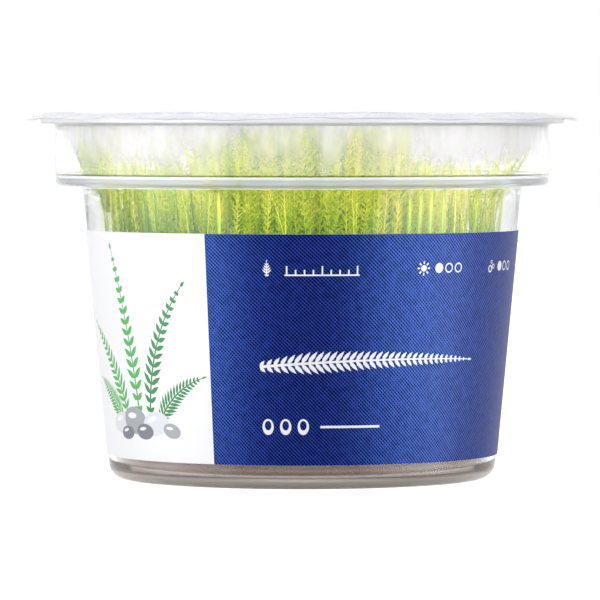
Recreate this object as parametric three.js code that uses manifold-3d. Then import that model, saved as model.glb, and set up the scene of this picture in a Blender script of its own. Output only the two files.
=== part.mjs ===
// A tissue culture cup of spiky moss: a clear tapered cup with a wide collar, closed by a sealing
// film, wrapped in a printed label, with a layer of nutrient gel and a dense stand of feathery moss.
// Millimetres, +Z up. The origin is the middle of the face that the cup stands on, and the front
// of the label faces -Y.
import * as THREE from "three";
import { mergeVertices } from "three/addons/utils/BufferGeometryUtils.js";
import Module from "manifold-3d";

// Cup
const HEIGHT = 70.5; // to the top of the sealing film over the flange
const COLLAR_RADIUS = 47.5; // the collar's outside, half of a 95 mm tub
const BODY_BASE_RADIUS = 37.0; // the body's outside, carried on down to the standing face
const BODY_TOP_RADIUS = 42.3; // the body's outside, just under the shoulder
const SHOULDER_Z = 56.4; // underside of the shoulder
const SHOULDER_THICKNESS = 1.4;
const WALL = 1.1;
const FLANGE_RADIUS = 50.6;
const FLANGE_THICKNESS = 1.8;
const CORNER_RADIUS = 3.0; // the outside edge round the base
const RECESS_RADIUS = 28.5; // the hollow under the base
const RECESS_DEPTH = 1.0;
const RECESS_SLOPE = 1.5; // how far the hollow's side leans outwards
const FLOOR_THICKNESS = 1.2;
const SHOULDER_EDGE = 0.9; // rounding of the shoulder's outer edge
const FLARE = 0.8; // the small flares under the shoulder and the flange
const INNER_FILLET = 0.6; // corners inside the collar
const ROUND_SEGMENTS = 48; // sides of every round piece, a multiple of the moss's columns

// Sealing film
const FILM_THICKNESS = 0.4;
const FILM_RADIUS = 53.3; // its loose edge, beyond the flange
const FILM_FLAT_MARGIN = 0.4; // how far it stays flat beyond the flange
const FILM_DROOP = 1.5; // how far the loose edge hangs on average
const FILM_SWAY = 0.35; // how far the waves carry the edge in and out
const FILM_GAP = 0.05; // left between pieces that lie on each other

// Label
const LABEL_BOTTOM_Z = 4.7;
const LABEL_TOP_Z = 47.8;
const LABEL_THICKNESS = 0.25;
const LABEL_GAP = 0.08; // between the label and the cup
const LABEL_WINDOW_ANGLE = 52; // degrees of bare wall left at the back

// Gel and moss
const GEL_TOP_Z = 12.0;
const MENISCUS = 0.5; // how far the gel climbs the wall
const MENISCUS_WIDTH = 1.2; // over this width beside the wall
const GEL_GAP = 0.1; // between the gel and the cup
const MAT_GAP = 0.5; // between the mat of moss and the cup
const MAT_TOP_Z = 45.0; // average height of the mat's hummocks
const MAT_HOLLOW = 3.5; // least depth of the hollows between them
const MAT_BRIM_DROP = 5; // how far below the hummocks the mat's side begins
const MAT_LUMPS = 1.5; // depth of the dents in its side
const MAT_COLUMNS = 48; // corners round the mat
const SHOOT_THICKNESS = 0.9;
const STEM_HALF_WIDTH = 0.45;
const BRANCH_LEVELS = 6; // pairs of side branches on one shoot
const TIP_SPREAD = 4; // between the lowest and the highest tip of a ring
const TIP_FALL = 0.035; // the stand's fall towards +X, in mm for each mm
// Rings of shoots: distance from the axis, how many, mean tip height and mean half width.
const SHOOT_RINGS = [
  { radius: 10, count: 4, tipZ: 66.5, halfWidth: 3.4 },
  { radius: 21, count: 8, tipZ: 66, halfWidth: 3.5 },
  { radius: 30.5, count: 12, tipZ: 64.5, halfWidth: 3.6 },
  { radius: 37.4, count: 24, tipZ: 62.5, halfWidth: 3.7 },
];

const FLANGE_TOP_Z = HEIGHT - FILM_THICKNESS - FILM_GAP;
const FLANGE_UNDER_Z = FLANGE_TOP_Z - FLANGE_THICKNESS;
const FLOOR_Z = RECESS_DEPTH + FLOOR_THICKNESS;
const WALL_SLOPE = (BODY_TOP_RADIUS - BODY_BASE_RADIUS) / SHOULDER_Z;

const wasm = await Module();
wasm.setup();

const material = {
  clearPlastic: new THREE.MeshStandardMaterial({
    color: 0xeef1f2,
    roughness: 0.12,
    metalness: 0,
    transparent: true,
    opacity: 0.35,
  }),
  film: new THREE.MeshStandardMaterial({
    color: 0xe4e4ea,
    roughness: 0.2,
    metalness: 0,
    transparent: true,
    opacity: 0.45,
  }),
  label: new THREE.MeshStandardMaterial({ color: 0x22398a, roughness: 0.35, metalness: 0 }),
  gel: new THREE.MeshStandardMaterial({ color: 0xbdb4aa, roughness: 0.25, metalness: 0 }),
  mat: new THREE.MeshStandardMaterial({ color: 0x5f8426, roughness: 0.85, metalness: 0 }),
  shoot: new THREE.MeshStandardMaterial({ color: 0x9db63a, roughness: 0.75, metalness: 0 }),
};

// Radius of the cup's outside at a height, and of its inside.
function bodyRadius(z) {
  return BODY_BASE_RADIUS + WALL_SLOPE * z;
}

function innerRadius(z) {
  return bodyRadius(z) - WALL;
}

// Points on an arc in the profile plane, from one angle to another in degrees, ends included.
function arc(centreR, centreZ, radius, fromDegrees, toDegrees, steps) {
  const points = [];
  for (let i = 0; i <= steps; i++) {
    const angle = THREE.MathUtils.degToRad(
      fromDegrees + ((toDegrees - fromDegrees) * i) / steps,
    );
    points.push([centreR + radius * Math.cos(angle), centreZ + radius * Math.sin(angle)]);
  }
  return points;
}

// A solid turned round the Z axis from a profile of [radius, height] pairs.
function turned(profile) {
  const points = profile.map(([r, z]) => new THREE.Vector2(Math.max(r, 0), z));
  return new THREE.LatheGeometry(points, ROUND_SEGMENTS).rotateX(Math.PI / 2);
}

// A repeatable random number from 0 to 1 for a whole number.
function chance(n) {
  const x = Math.sin(n * 12.9898 + 4.1414) * 43758.5453;
  return x - Math.floor(x);
}

// A closed geometry as a solid that can be joined and cut, and back.
function asSolid(geometry) {
  const bare = geometry.clone();
  bare.deleteAttribute("normal");
  bare.deleteAttribute("uv");
  const merged = mergeVertices(bare, 1e-4);
  return new wasm.Manifold(
    new wasm.Mesh({
      numProp: 3,
      vertProperties: merged.attributes.position.array,
      triVerts: new Uint32Array(merged.index.array),
    }),
  );
}

function asGeometry(solid) {
  const mesh = solid.getMesh();
  const geometry = new THREE.BufferGeometry();
  geometry.setAttribute("position", new THREE.BufferAttribute(mesh.vertProperties, 3));
  geometry.setIndex(new THREE.BufferAttribute(mesh.triVerts, 1));
  geometry.computeVertexNormals();
  return geometry;
}

function named(name, geometry, look) {
  const mesh = new THREE.Mesh(geometry, look);
  mesh.name = name;
  return mesh;
}

// The cup in one piece: recessed base, tapered body, shoulder, collar and sealing flange.
function makeCup() {
  const cornerR = bodyRadius(CORNER_RADIUS) - CORNER_RADIUS;
  const innerCorner = CORNER_RADIUS - WALL;
  const collarInner = COLLAR_RADIUS - WALL;
  const collarFloorZ = SHOULDER_Z + SHOULDER_THICKNESS;
  const profile = [
    [0, RECESS_DEPTH],
    [RECESS_RADIUS, RECESS_DEPTH],
    [RECESS_RADIUS + RECESS_SLOPE, 0],
    ...arc(cornerR, CORNER_RADIUS, CORNER_RADIUS, -90, 0, 4),
    [bodyRadius(SHOULDER_Z - FLARE), SHOULDER_Z - FLARE],
    [BODY_TOP_RADIUS + FLARE, SHOULDER_Z],
    ...arc(COLLAR_RADIUS - SHOULDER_EDGE, SHOULDER_Z + SHOULDER_EDGE, SHOULDER_EDGE, -90, 0, 2),
    [COLLAR_RADIUS, FLANGE_UNDER_Z - FLARE],
    [COLLAR_RADIUS + FLARE, FLANGE_UNDER_Z],
    [FLANGE_RADIUS, FLANGE_UNDER_Z],
    [FLANGE_RADIUS, FLANGE_TOP_Z],
    [collarInner, FLANGE_TOP_Z],
    [collarInner, collarFloorZ + INNER_FILLET],
    [collarInner - INNER_FILLET, collarFloorZ],
    [innerRadius(SHOULDER_Z) + INNER_FILLET, collarFloorZ],
    [innerRadius(SHOULDER_Z), collarFloorZ - INNER_FILLET],
    ...arc(innerRadius(FLOOR_Z + innerCorner) - innerCorner, FLOOR_Z + innerCorner, innerCorner, 0, -90, 2),
    [0, FLOOR_Z],
  ];
  return named("cup", turned(profile), material.clearPlastic);
}

// The sealing film: flat over the mouth and the flange, with a loose edge that hangs in waves.
// Only even waves are used, so that opposite sides match and the film stays centred.
function makeSealFilm() {
  const flatRadius = FLANGE_RADIUS + FILM_FLAT_MARGIN;
  const rings = [
    { radius: 0.6 * flatRadius, loose: 0 },
    { radius: flatRadius, loose: 0 },
    { radius: (flatRadius + FILM_RADIUS) / 2, loose: 0.45 },
    { radius: FILM_RADIUS, loose: 1 },
  ];
  const wave = (angle) => 0.55 * Math.sin(6 * angle) + 0.45 * Math.sin(10 * angle + 1.3);
  const positions = [];
  const index = [];
  const underside = HEIGHT - FILM_THICKNESS;
  const push = (angle, ring, lift) => {
    const w = wave(angle);
    const r = ring.radius + FILM_SWAY * ring.loose * w;
    const drop = ring.loose * FILM_DROOP * (0.85 + 0.55 * w);
    positions.push(r * Math.cos(angle), r * Math.sin(angle), underside + lift - drop);
  };
  for (const lift of [0, FILM_THICKNESS])
    for (const ring of rings)
      for (let i = 0; i < ROUND_SEGMENTS; i++)
        push((2 * Math.PI * i) / ROUND_SEGMENTS, ring, lift);
  positions.push(0, 0, underside, 0, 0, HEIGHT);
  const layer = rings.length * ROUND_SEGMENTS;
  const at = (top, ring, i) => top * layer + ring * ROUND_SEGMENTS + (i % ROUND_SEGMENTS);
  const last = rings.length - 1;
  for (let i = 0; i < ROUND_SEGMENTS; i++) {
    index.push(2 * layer, at(0, 0, i + 1), at(0, 0, i));
    index.push(2 * layer + 1, at(1, 0, i), at(1, 0, i + 1));
    for (let ring = 0; ring < last; ring++) {
      index.push(at(0, ring, i), at(0, ring, i + 1), at(0, ring + 1, i));
      index.push(at(0, ring, i + 1), at(0, ring + 1, i + 1), at(0, ring + 1, i));
      index.push(at(1, ring, i), at(1, ring + 1, i), at(1, ring, i + 1));
      index.push(at(1, ring, i + 1), at(1, ring + 1, i), at(1, ring + 1, i + 1));
    }
    index.push(at(0, last, i), at(0, last, i + 1), at(1, last, i));
    index.push(at(0, last, i + 1), at(1, last, i + 1), at(1, last, i));
  }
  const geometry = new THREE.BufferGeometry();
  geometry.setAttribute("position", new THREE.Float32BufferAttribute(positions, 3));
  geometry.setIndex(index);
  geometry.computeVertexNormals();
  return named("seal_film", geometry, material.film);
}

// The label: a strip that follows the body's taper, with a window left open at the back.
function makeLabel() {
  const inner = (z) => bodyRadius(z) + LABEL_GAP;
  const profile = [
    [inner(LABEL_BOTTOM_Z), LABEL_BOTTOM_Z],
    [inner(LABEL_BOTTOM_Z) + LABEL_THICKNESS, LABEL_BOTTOM_Z],
    [inner(LABEL_TOP_Z) + LABEL_THICKNESS, LABEL_TOP_Z],
    [inner(LABEL_TOP_Z), LABEL_TOP_Z],
    [inner(LABEL_BOTTOM_Z), LABEL_BOTTOM_Z],
  ];
  const half = THREE.MathUtils.degToRad(LABEL_WINDOW_ANGLE / 2);
  const reach = 1.5 * COLLAR_RADIUS;
  const wedge = new THREE.Shape([
    new THREE.Vector2(0, 0),
    new THREE.Vector2(reach * Math.sin(half), reach * Math.cos(half)),
    new THREE.Vector2(-reach * Math.sin(half), reach * Math.cos(half)),
  ]);
  const window = new THREE.ExtrudeGeometry(wedge, { depth: HEIGHT, bevelEnabled: false });
  const strip = asSolid(turned(profile)).subtract(asSolid(window));
  return named("label", asGeometry(strip), material.label);
}

// The set gel in the bottom of the cup, which climbs the wall a little.
function makeGel() {
  const innerCorner = CORNER_RADIUS - WALL;
  const bottom = FLOOR_Z + GEL_GAP;
  const cornerR = innerRadius(FLOOR_Z + innerCorner) - innerCorner;
  const edgeZ = GEL_TOP_Z + MENISCUS;
  const profile = [
    [0, bottom],
    ...arc(cornerR, bottom + innerCorner, innerCorner - GEL_GAP, -90, 0, 2),
    [innerRadius(edgeZ) - GEL_GAP, edgeZ],
    [innerRadius(GEL_TOP_Z) - MENISCUS_WIDTH, GEL_TOP_Z],
    [0, GEL_TOP_Z],
  ];
  return named("gel", turned(profile), material.gel);
}

// Height of the mat's top under a shoot, one hummock for each shoot.
function hummockZ(ring, i) {
  return MAT_TOP_Z + 3 * (chance(ring * 40 + i) - 0.5);
}

// Height of the mat's top in a hollow between shoots.
function hollowZ(seed) {
  return MAT_TOP_Z - MAT_HOLLOW - 2 * chance(seed);
}

// The mat: the dense tangled growth, with a hummock under each shoot and hollows between them.
// Each row goes once round it, from the inmost ring of shoots out to the wall and down to the gel.
function makeMat() {
  const bottom = GEL_TOP_Z + FILM_GAP;
  const rows = [];
  SHOOT_RINGS.forEach((ring, k) => {
    const step = MAT_COLUMNS / ring.count;
    if (k > 0) {
      const between = (SHOOT_RINGS[k - 1].radius + ring.radius) / 2;
      rows.push((i) => [between, hollowZ(k * 91 + i)]);
    }
    rows.push((i) => [ring.radius, i % step === 0 ? hummockZ(k, i / step) : hollowZ(k * 173 + i)]);
  });
  const brimZ = MAT_TOP_Z - MAT_BRIM_DROP;
  for (const z of [brimZ, (2 * brimZ + bottom) / 3, (brimZ + 2 * bottom) / 3])
    rows.push((i) => [innerRadius(z) - MAT_GAP - MAT_LUMPS * chance(z * 7 + i), z]);
  rows.push(() => [innerRadius(bottom) - MENISCUS_WIDTH - GEL_GAP, bottom]);
  const positions = [];
  const index = [];
  for (const row of rows)
    for (let i = 0; i < MAT_COLUMNS; i++) {
      const angle = (2 * Math.PI * i) / MAT_COLUMNS;
      const [radius, z] = row(i);
      positions.push(radius * Math.cos(angle), radius * Math.sin(angle), z);
    }
  positions.push(0, 0, MAT_TOP_Z - MAT_HOLLOW, 0, 0, bottom);
  const at = (row, i) => row * MAT_COLUMNS + (i % MAT_COLUMNS);
  const last = rows.length - 1;
  const middle = rows.length * MAT_COLUMNS;
  for (let i = 0; i < MAT_COLUMNS; i++) {
    index.push(middle, at(0, i), at(0, i + 1));
    for (let row = 0; row < last; row++) {
      index.push(at(row, i), at(row + 1, i), at(row, i + 1));
      index.push(at(row, i + 1), at(row + 1, i), at(row + 1, i + 1));
    }
    index.push(middle + 1, at(last, i + 1), at(last, i));
  }
  const geometry = new THREE.BufferGeometry();
  geometry.setAttribute("position", new THREE.Float32BufferAttribute(positions, 3));
  geometry.setIndex(index);
  geometry.computeVertexNormals();
  return named("moss_mat", geometry, material.mat);
}

// Outline of one feathery shoot, standing on z = 0: a stem with pairs of pointed side branches
// that rise at an angle, longest at a third of its height, and a pointed tip.
function shootOutline(height, halfWidth, seed) {
  const right = [];
  const left = [];
  const first = 0.16 * height;
  const pitch = (0.86 * height - first) / BRANCH_LEVELS;
  for (let k = 0; k < BRANCH_LEVELS; k++) {
    const z = first + k * pitch;
    const share = (k + 0.5) / BRANCH_LEVELS;
    const envelope = halfWidth * (1.05 - 0.72 * share) * (k === 0 ? 0.75 : 1);
    for (const [side, sign] of [[right, 1], [left, -1]]) {
      const reach = envelope * (0.82 + 0.3 * chance(seed * 31 + k * 7 + sign));
      const rise = (0.75 + 0.2 * chance(seed * 17 + k * 3 + sign)) * pitch;
      side.push([sign * STEM_HALF_WIDTH, z]);
      side.push([sign * reach, z + rise]);
    }
  }
  const tip = [0, height];
  const foot = STEM_HALF_WIDTH;
  const outline = [[-foot, 0], [foot, 0], ...right, tip, ...left.reverse()];
  return new THREE.Shape(outline.map(([x, z]) => new THREE.Vector2(x, z)));
}

// One shoot, flat across the radius of the cup, which bends a little towards its tip.
function makeShoot(name, ringNumber, i) {
  const ring = SHOOT_RINGS[ringNumber];
  const seed = ringNumber * 50 + i + 1;
  const angle = (2 * Math.PI * i) / ring.count;
  const footZ = hummockZ(ringNumber, i) + FILM_GAP;
  const fall = TIP_FALL * ring.radius * Math.cos(angle);
  const tipZ = ring.tipZ - fall + TIP_SPREAD * (chance(seed * 3) - 0.5);
  const height = tipZ - footZ;
  const halfWidth = ring.halfWidth * (0.9 + 0.2 * chance(seed * 5));
  const geometry = new THREE.ExtrudeGeometry(shootOutline(height, halfWidth, seed), {
    depth: SHOOT_THICKNESS,
    bevelEnabled: false,
  });
  geometry.translate(0, 0, -SHOOT_THICKNESS / 2);
  // Across becomes the direction round the cup, and the outline's height becomes Z.
  geometry.rotateX(Math.PI / 2);
  const sway = 1.2 * (chance(seed * 7) - 0.5);
  const lean = WALL_SLOPE * 0.9;
  const position = geometry.getAttribute("position");
  for (let n = 0; n < position.count; n++) {
    const share = position.getZ(n) / height;
    position.setX(n, position.getX(n) + sway * share * share);
    position.setY(n, position.getY(n) - lean * share * height);
  }
  const mesh = named(name, geometry, material.shoot);
  mesh.position.set(ring.radius * Math.cos(angle), ring.radius * Math.sin(angle), footZ);
  mesh.rotation.z = angle + Math.PI / 2;
  return mesh;
}

function makeMoss() {
  const moss = new THREE.Group();
  moss.add(makeMat());
  let number = 1;
  SHOOT_RINGS.forEach((ring, k) => {
    for (let i = 0; i < ring.count; i++) {
      moss.add(makeShoot("moss_shoot_" + String(number).padStart(2, "0"), k, i));
      number += 1;
    }
  });
  return moss;
}

const planted_cup = new THREE.Group();
planted_cup.add(makeCup(), makeSealFilm(), makeLabel(), makeGel(), makeMoss());

export default planted_cup;
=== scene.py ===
"""The looks of a clear culture cup of spiky moss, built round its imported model.

Everything is in metres in the model's own frame: +Z is up, the cup stands on z = 0 and the front
of its label faces -Y. Sizes of the pieces are given in millimetres and turned into metres by MM.
"""

import logging
import math
from collections.abc import Sequence
from dataclasses import dataclass, field
from enum import Enum

import bpy
import numpy as np
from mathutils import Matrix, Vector
from mathutils.geometry import delaunay_2d_cdt


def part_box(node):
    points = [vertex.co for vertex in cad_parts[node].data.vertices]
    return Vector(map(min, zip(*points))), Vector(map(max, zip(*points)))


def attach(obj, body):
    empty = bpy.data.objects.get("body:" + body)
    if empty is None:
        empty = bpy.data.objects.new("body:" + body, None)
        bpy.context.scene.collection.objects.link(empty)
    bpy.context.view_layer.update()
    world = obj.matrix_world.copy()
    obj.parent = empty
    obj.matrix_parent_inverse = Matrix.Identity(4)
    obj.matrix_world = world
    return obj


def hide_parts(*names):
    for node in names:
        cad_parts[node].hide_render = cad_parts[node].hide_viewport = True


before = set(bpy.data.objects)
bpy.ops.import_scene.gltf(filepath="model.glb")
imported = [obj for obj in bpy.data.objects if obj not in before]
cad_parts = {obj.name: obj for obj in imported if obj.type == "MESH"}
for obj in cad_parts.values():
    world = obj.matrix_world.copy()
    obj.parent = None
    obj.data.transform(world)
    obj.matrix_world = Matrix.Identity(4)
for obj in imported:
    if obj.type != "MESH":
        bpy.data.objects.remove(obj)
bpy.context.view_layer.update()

MM = 0.001
SIDES = 192
BODY = "root"
LOG = logging.getLogger("moss_cup")

Colour = tuple[float, float, float]
Point = tuple[float, float]
Profile = list[Point]


# Small helpers


def srgb(red: float, green: float, blue: float) -> Colour:
    """Turns screen values from 0 to 255 into the linear colour a shader takes.

    Args:
        red: Red, from 0 to 255.
        green: Green, from 0 to 255.
        blue: Blue, from 0 to 255.

    Returns:
        The linear colour.
    """
    shares = (value / 255 for value in (red, green, blue))
    return tuple(s / 12.92 if s <= 0.04045 else ((s + 0.055) / 1.055) ** 2.4 for s in shares)


def ease(low: float, high: float, value: np.ndarray | float) -> np.ndarray | float:
    """Rises smoothly from 0 at low to 1 at high.

    Args:
        low: Where the rise starts.
        high: Where it ends.
        value: One value or an array of them.

    Returns:
        The share, from 0 to 1.
    """
    share = np.clip((value - low) / (high - low), 0.0, 1.0)
    return share * share * (3 - 2 * share)


def arc(centre: Point, radius: float, start: float, end: float, steps: int) -> Profile:
    """Points on an arc of a profile, ends included.

    Args:
        centre: The arc's centre, as distance from the axis and height.
        radius: The arc's radius.
        start: First angle in degrees.
        end: Last angle in degrees.
        steps: How many stretches the arc has.

    Returns:
        The points, as distance from the axis and height.
    """
    angles = np.radians(np.linspace(start, end, steps + 1))
    return [(centre[0] + radius * math.cos(a), centre[1] + radius * math.sin(a)) for a in angles]


def unit(vectors: np.ndarray) -> np.ndarray:
    """Scales each row to length 1."""
    return vectors / np.maximum(np.linalg.norm(vectors, axis=-1, keepdims=True), 1e-12)


def level(turn: float) -> np.ndarray:
    """Gives the level direction at an angle from +X, in radians."""
    return np.array([math.cos(turn), math.sin(turn), 0.0])


def points_of(piece: bpy.types.Object) -> np.ndarray:
    """Reads the places of a mesh's vertices.

    Args:
        piece: The mesh object.

    Returns:
        One row for each vertex, in metres.
    """
    flat = np.empty(len(piece.data.vertices) * 3)
    piece.data.vertices.foreach_get("co", flat)
    return flat.reshape(-1, 3)


def move_points(piece: bpy.types.Object, points: np.ndarray) -> None:
    """Writes the places of a mesh's vertices back.

    Args:
        piece: The mesh object.
        points: One row for each vertex, in metres.
    """
    piece.data.vertices.foreach_set("co", points.astype(np.float32).ravel())
    piece.data.update()


def mesh_from(name: str, points: np.ndarray, faces: np.ndarray) -> bpy.types.Object:
    """Makes a mesh object of triangles from arrays.

    Args:
        name: Name of the object.
        points: One row for each vertex, in metres.
        faces: One row of three vertex numbers for each triangle.

    Returns:
        The new object.
    """
    mesh = bpy.data.meshes.new(name)
    mesh.vertices.add(len(points))
    mesh.vertices.foreach_set("co", points.astype(np.float32).ravel())
    mesh.loops.add(faces.size)
    mesh.loops.foreach_set("vertex_index", faces.astype(np.int32).ravel())
    mesh.polygons.add(len(faces))
    mesh.polygons.foreach_set("loop_start", np.arange(0, faces.size, 3, dtype=np.int32))
    mesh.update(calc_edges=True)
    mesh.validate()
    piece = bpy.data.objects.new(name, mesh)
    bpy.context.scene.collection.objects.link(piece)
    return piece


def select_only(piece: bpy.types.Object) -> None:
    """Deselects everything but one object, because an operator acts on all that is selected.

    Args:
        piece: The object that stays selected.
    """
    bpy.ops.object.select_all(action="DESELECT")
    piece.select_set(True)
    bpy.context.view_layer.objects.active = piece


def turned(name: str, profile: Profile, sides: int = SIDES) -> bpy.types.Object:
    """Makes a turned solid: a disc is placed, and its rim is extruded and scaled along a profile.

    Args:
        name: Name of the object.
        profile: Distances from the axis and heights in millimetres, from one pole to the other.
        sides: How many sides the round piece has.

    Returns:
        The new object, closed at both poles, with its faces pointing out.
    """
    bpy.ops.object.select_all(action="DESELECT")
    radius, height = profile[0]
    bpy.ops.mesh.primitive_circle_add(
        vertices=sides, radius=radius * MM, fill_type="TRIFAN", location=(0, 0, height * MM)
    )
    bpy.ops.object.transform_apply(location=True, rotation=True, scale=True)
    piece = bpy.context.object
    piece.name = name
    piece.data.name = name
    bpy.ops.object.mode_set(mode="EDIT")
    bpy.ops.mesh.select_mode(type="EDGE")
    bpy.ops.mesh.select_all(action="DESELECT")
    bpy.ops.mesh.select_non_manifold()
    for next_radius, next_height in profile[1:]:
        step = (0, 0, (next_height - height) * MM)
        bpy.ops.mesh.extrude_edges_move(TRANSFORM_OT_translate={"value": step})
        scale = next_radius / radius
        bpy.ops.transform.resize(value=(scale, scale, 1), center_override=(0, 0, next_height * MM))
        radius, height = next_radius, next_height
    bpy.ops.mesh.edge_face_add()
    bpy.ops.mesh.poke()
    bpy.ops.mesh.select_all(action="SELECT")
    bpy.ops.mesh.normals_make_consistent(inside=False)
    bpy.ops.object.mode_set(mode="OBJECT")
    return piece


def smooth(piece: bpy.types.Object, degrees: float = 40) -> None:
    """Shades a piece smooth, but for edges sharper than an angle.

    Args:
        piece: The mesh object.
        degrees: The angle past which an edge stays sharp.
    """
    select_only(piece)
    bpy.ops.object.shade_smooth_by_angle(angle=math.radians(degrees))


def dress(piece: bpy.types.Object, materials: Sequence[bpy.types.Material],
          nodes: Sequence[str] = (), shades: bool = True) -> None:
    """Gives a finished piece its materials and its place in the frame.

    Args:
        piece: The mesh object.
        materials: Its materials, in the order of its faces' numbers.
        nodes: The nodes of the frame that it stands for.
        shades: Whether it keeps light off what is behind it.
    """
    piece.visible_shadow = shades
    for material in materials:
        piece.data.materials.append(material)
    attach(piece, BODY)
    if nodes:
        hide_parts(*nodes)
    LOG.info("%s: %d triangles", piece.name, sum(len(p.vertices) - 2 for p in piece.data.polygons))


class ShaderGraph:
    """The node graph of one material, with short ways to add and join its nodes."""

    def __init__(self, name: str) -> None:
        """Starts a material whose only shader is a Principled one.

        Args:
            name: Name of the material.
        """
        self.material = bpy.data.materials.new(name)
        self.material.use_nodes = True
        self.tree = self.material.node_tree
        self.shader = self.tree.nodes["Principled BSDF"]

    @classmethod
    def of_tree(cls, tree: bpy.types.NodeTree) -> "ShaderGraph":
        """Wraps a node tree that is there already.

        Args:
            tree: The node tree.

        Returns:
            The graph, which has no material of its own.
        """
        graph = cls.__new__(cls)
        graph.tree = tree
        return graph

    def finish(self, **values: float | Colour) -> None:
        """Sets the shader's own sockets, whose names have spaces for underscores.

        Args:
            **values: A number or a colour for each socket.
        """
        for key, value in values.items():
            socket = self.shader.inputs[key.replace("_", " ")]
            socket.default_value = (*value, 1.0) if socket.type == "RGBA" else value

    def add(self, kind: str, inputs: dict[str | int, object] | None = None,
            **settings: object) -> bpy.types.Node:
        """Adds a node.

        Args:
            kind: The node's type name, without ShaderNode.
            inputs: A value or a socket for each input, by name or number.
            **settings: The node's own settings.

        Returns:
            The node.
        """
        node = self.tree.nodes.new("ShaderNode" + kind)
        for key, value in settings.items():
            setattr(node, key, value)
        for key, value in (inputs or {}).items():
            self.join(value, node.inputs[key])
        return node

    def join(self, value: object, target: bpy.types.NodeSocket) -> None:
        """Links a socket to another, or sets a plain value on it.

        Args:
            value: An output socket or a plain value.
            target: The input socket.
        """
        if isinstance(value, bpy.types.NodeSocket):
            self.tree.links.new(value, target)
        else:
            target.default_value = value

    def place(self, scale: tuple[float, float, float] = (1, 1, 1)) -> bpy.types.NodeSocket:
        """Gives the place on the object, in metres times a scale.

        Args:
            scale: The scale along each axis.

        Returns:
            The socket with the scaled place.
        """
        source = self.add("TexCoord").outputs["Object"]
        return self.add("Mapping", {"Vector": source, "Scale": scale}).outputs["Vector"]

    def noise(self, place: bpy.types.NodeSocket, scale: float, detail: float = 3,
              roughness: float = 0.5) -> bpy.types.NodeSocket:
        """Gives a noise from 0 to 1.

        Args:
            place: Where on the piece the noise is read.
            scale: How fine it is.
            detail: How many finer noises are added to it.
            roughness: How strong those are.

        Returns:
            The socket with the noise.
        """
        inputs = {"Vector": place, "Scale": scale, "Detail": detail, "Roughness": roughness}
        return self.add("TexNoise", inputs).outputs["Fac"]

    def maths(self, operation: str, *values: object, clamp: bool = False) -> bpy.types.NodeSocket:
        """Combines values that change over the surface.

        Args:
            operation: Name of the Math node's operation.
            *values: Sockets and plain numbers.
            clamp: Whether the result is kept from 0 to 1.

        Returns:
            The socket with the result.
        """
        inputs = dict(enumerate(values))
        return self.add("Math", inputs, operation=operation, use_clamp=clamp).outputs[0]

    def span(self, value: bpy.types.NodeSocket, low: float, high: float, to_low: float = 0,
             to_high: float = 1) -> bpy.types.NodeSocket:
        """Maps one range onto another, smoothly and clamped.

        Args:
            value: The value to map.
            low: Where the range starts.
            high: Where it ends.
            to_low: What the start becomes.
            to_high: What the end becomes.

        Returns:
            The socket with the result.
        """
        inputs = {0: value, 1: low, 2: high, 3: to_low, 4: to_high}
        return self.add("MapRange", inputs, interpolation_type="SMOOTHSTEP").outputs[0]

    def mixed(self, low: bpy.types.NodeSocket, high: object,
              share: bpy.types.NodeSocket) -> bpy.types.NodeSocket:
        """Mixes two values by a share.

        Args:
            low: The value at share 0.
            high: The value at share 1.
            share: The share.

        Returns:
            The socket with the result.
        """
        return self.add("Mix", {0: share, 2: low, 3: high}, data_type="FLOAT").outputs[0]

    def ramp(self, value: bpy.types.NodeSocket,
             stops: Sequence[tuple[float, Colour]]) -> bpy.types.NodeSocket:
        """Colours a value.

        Args:
            value: A value from 0 to 1.
            stops: Places from 0 to 1 and their colours.

        Returns:
            The socket with the colour.
        """
        node = self.add("ValToRGB", {"Fac": value})
        elements = node.color_ramp.elements
        while len(elements) < len(stops):
            elements.new(0.5)
        for element, (position, colour) in zip(elements, stops):
            element.position = position
            element.color = (*colour, 1.0)
        return node.outputs["Color"]

    def bump(self, height: bpy.types.NodeSocket, distance: float, strength: float) -> None:
        """Gives the shader a bump.

        Args:
            height: The socket with the height.
            distance: How deep the bump is, in metres.
            strength: How strongly it is felt.
        """
        inputs = {"Height": height, "Distance": distance, "Strength": strength}
        self.join(self.add("Bump", inputs).outputs["Normal"], self.shader.inputs["Normal"])


# Finishes


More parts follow.
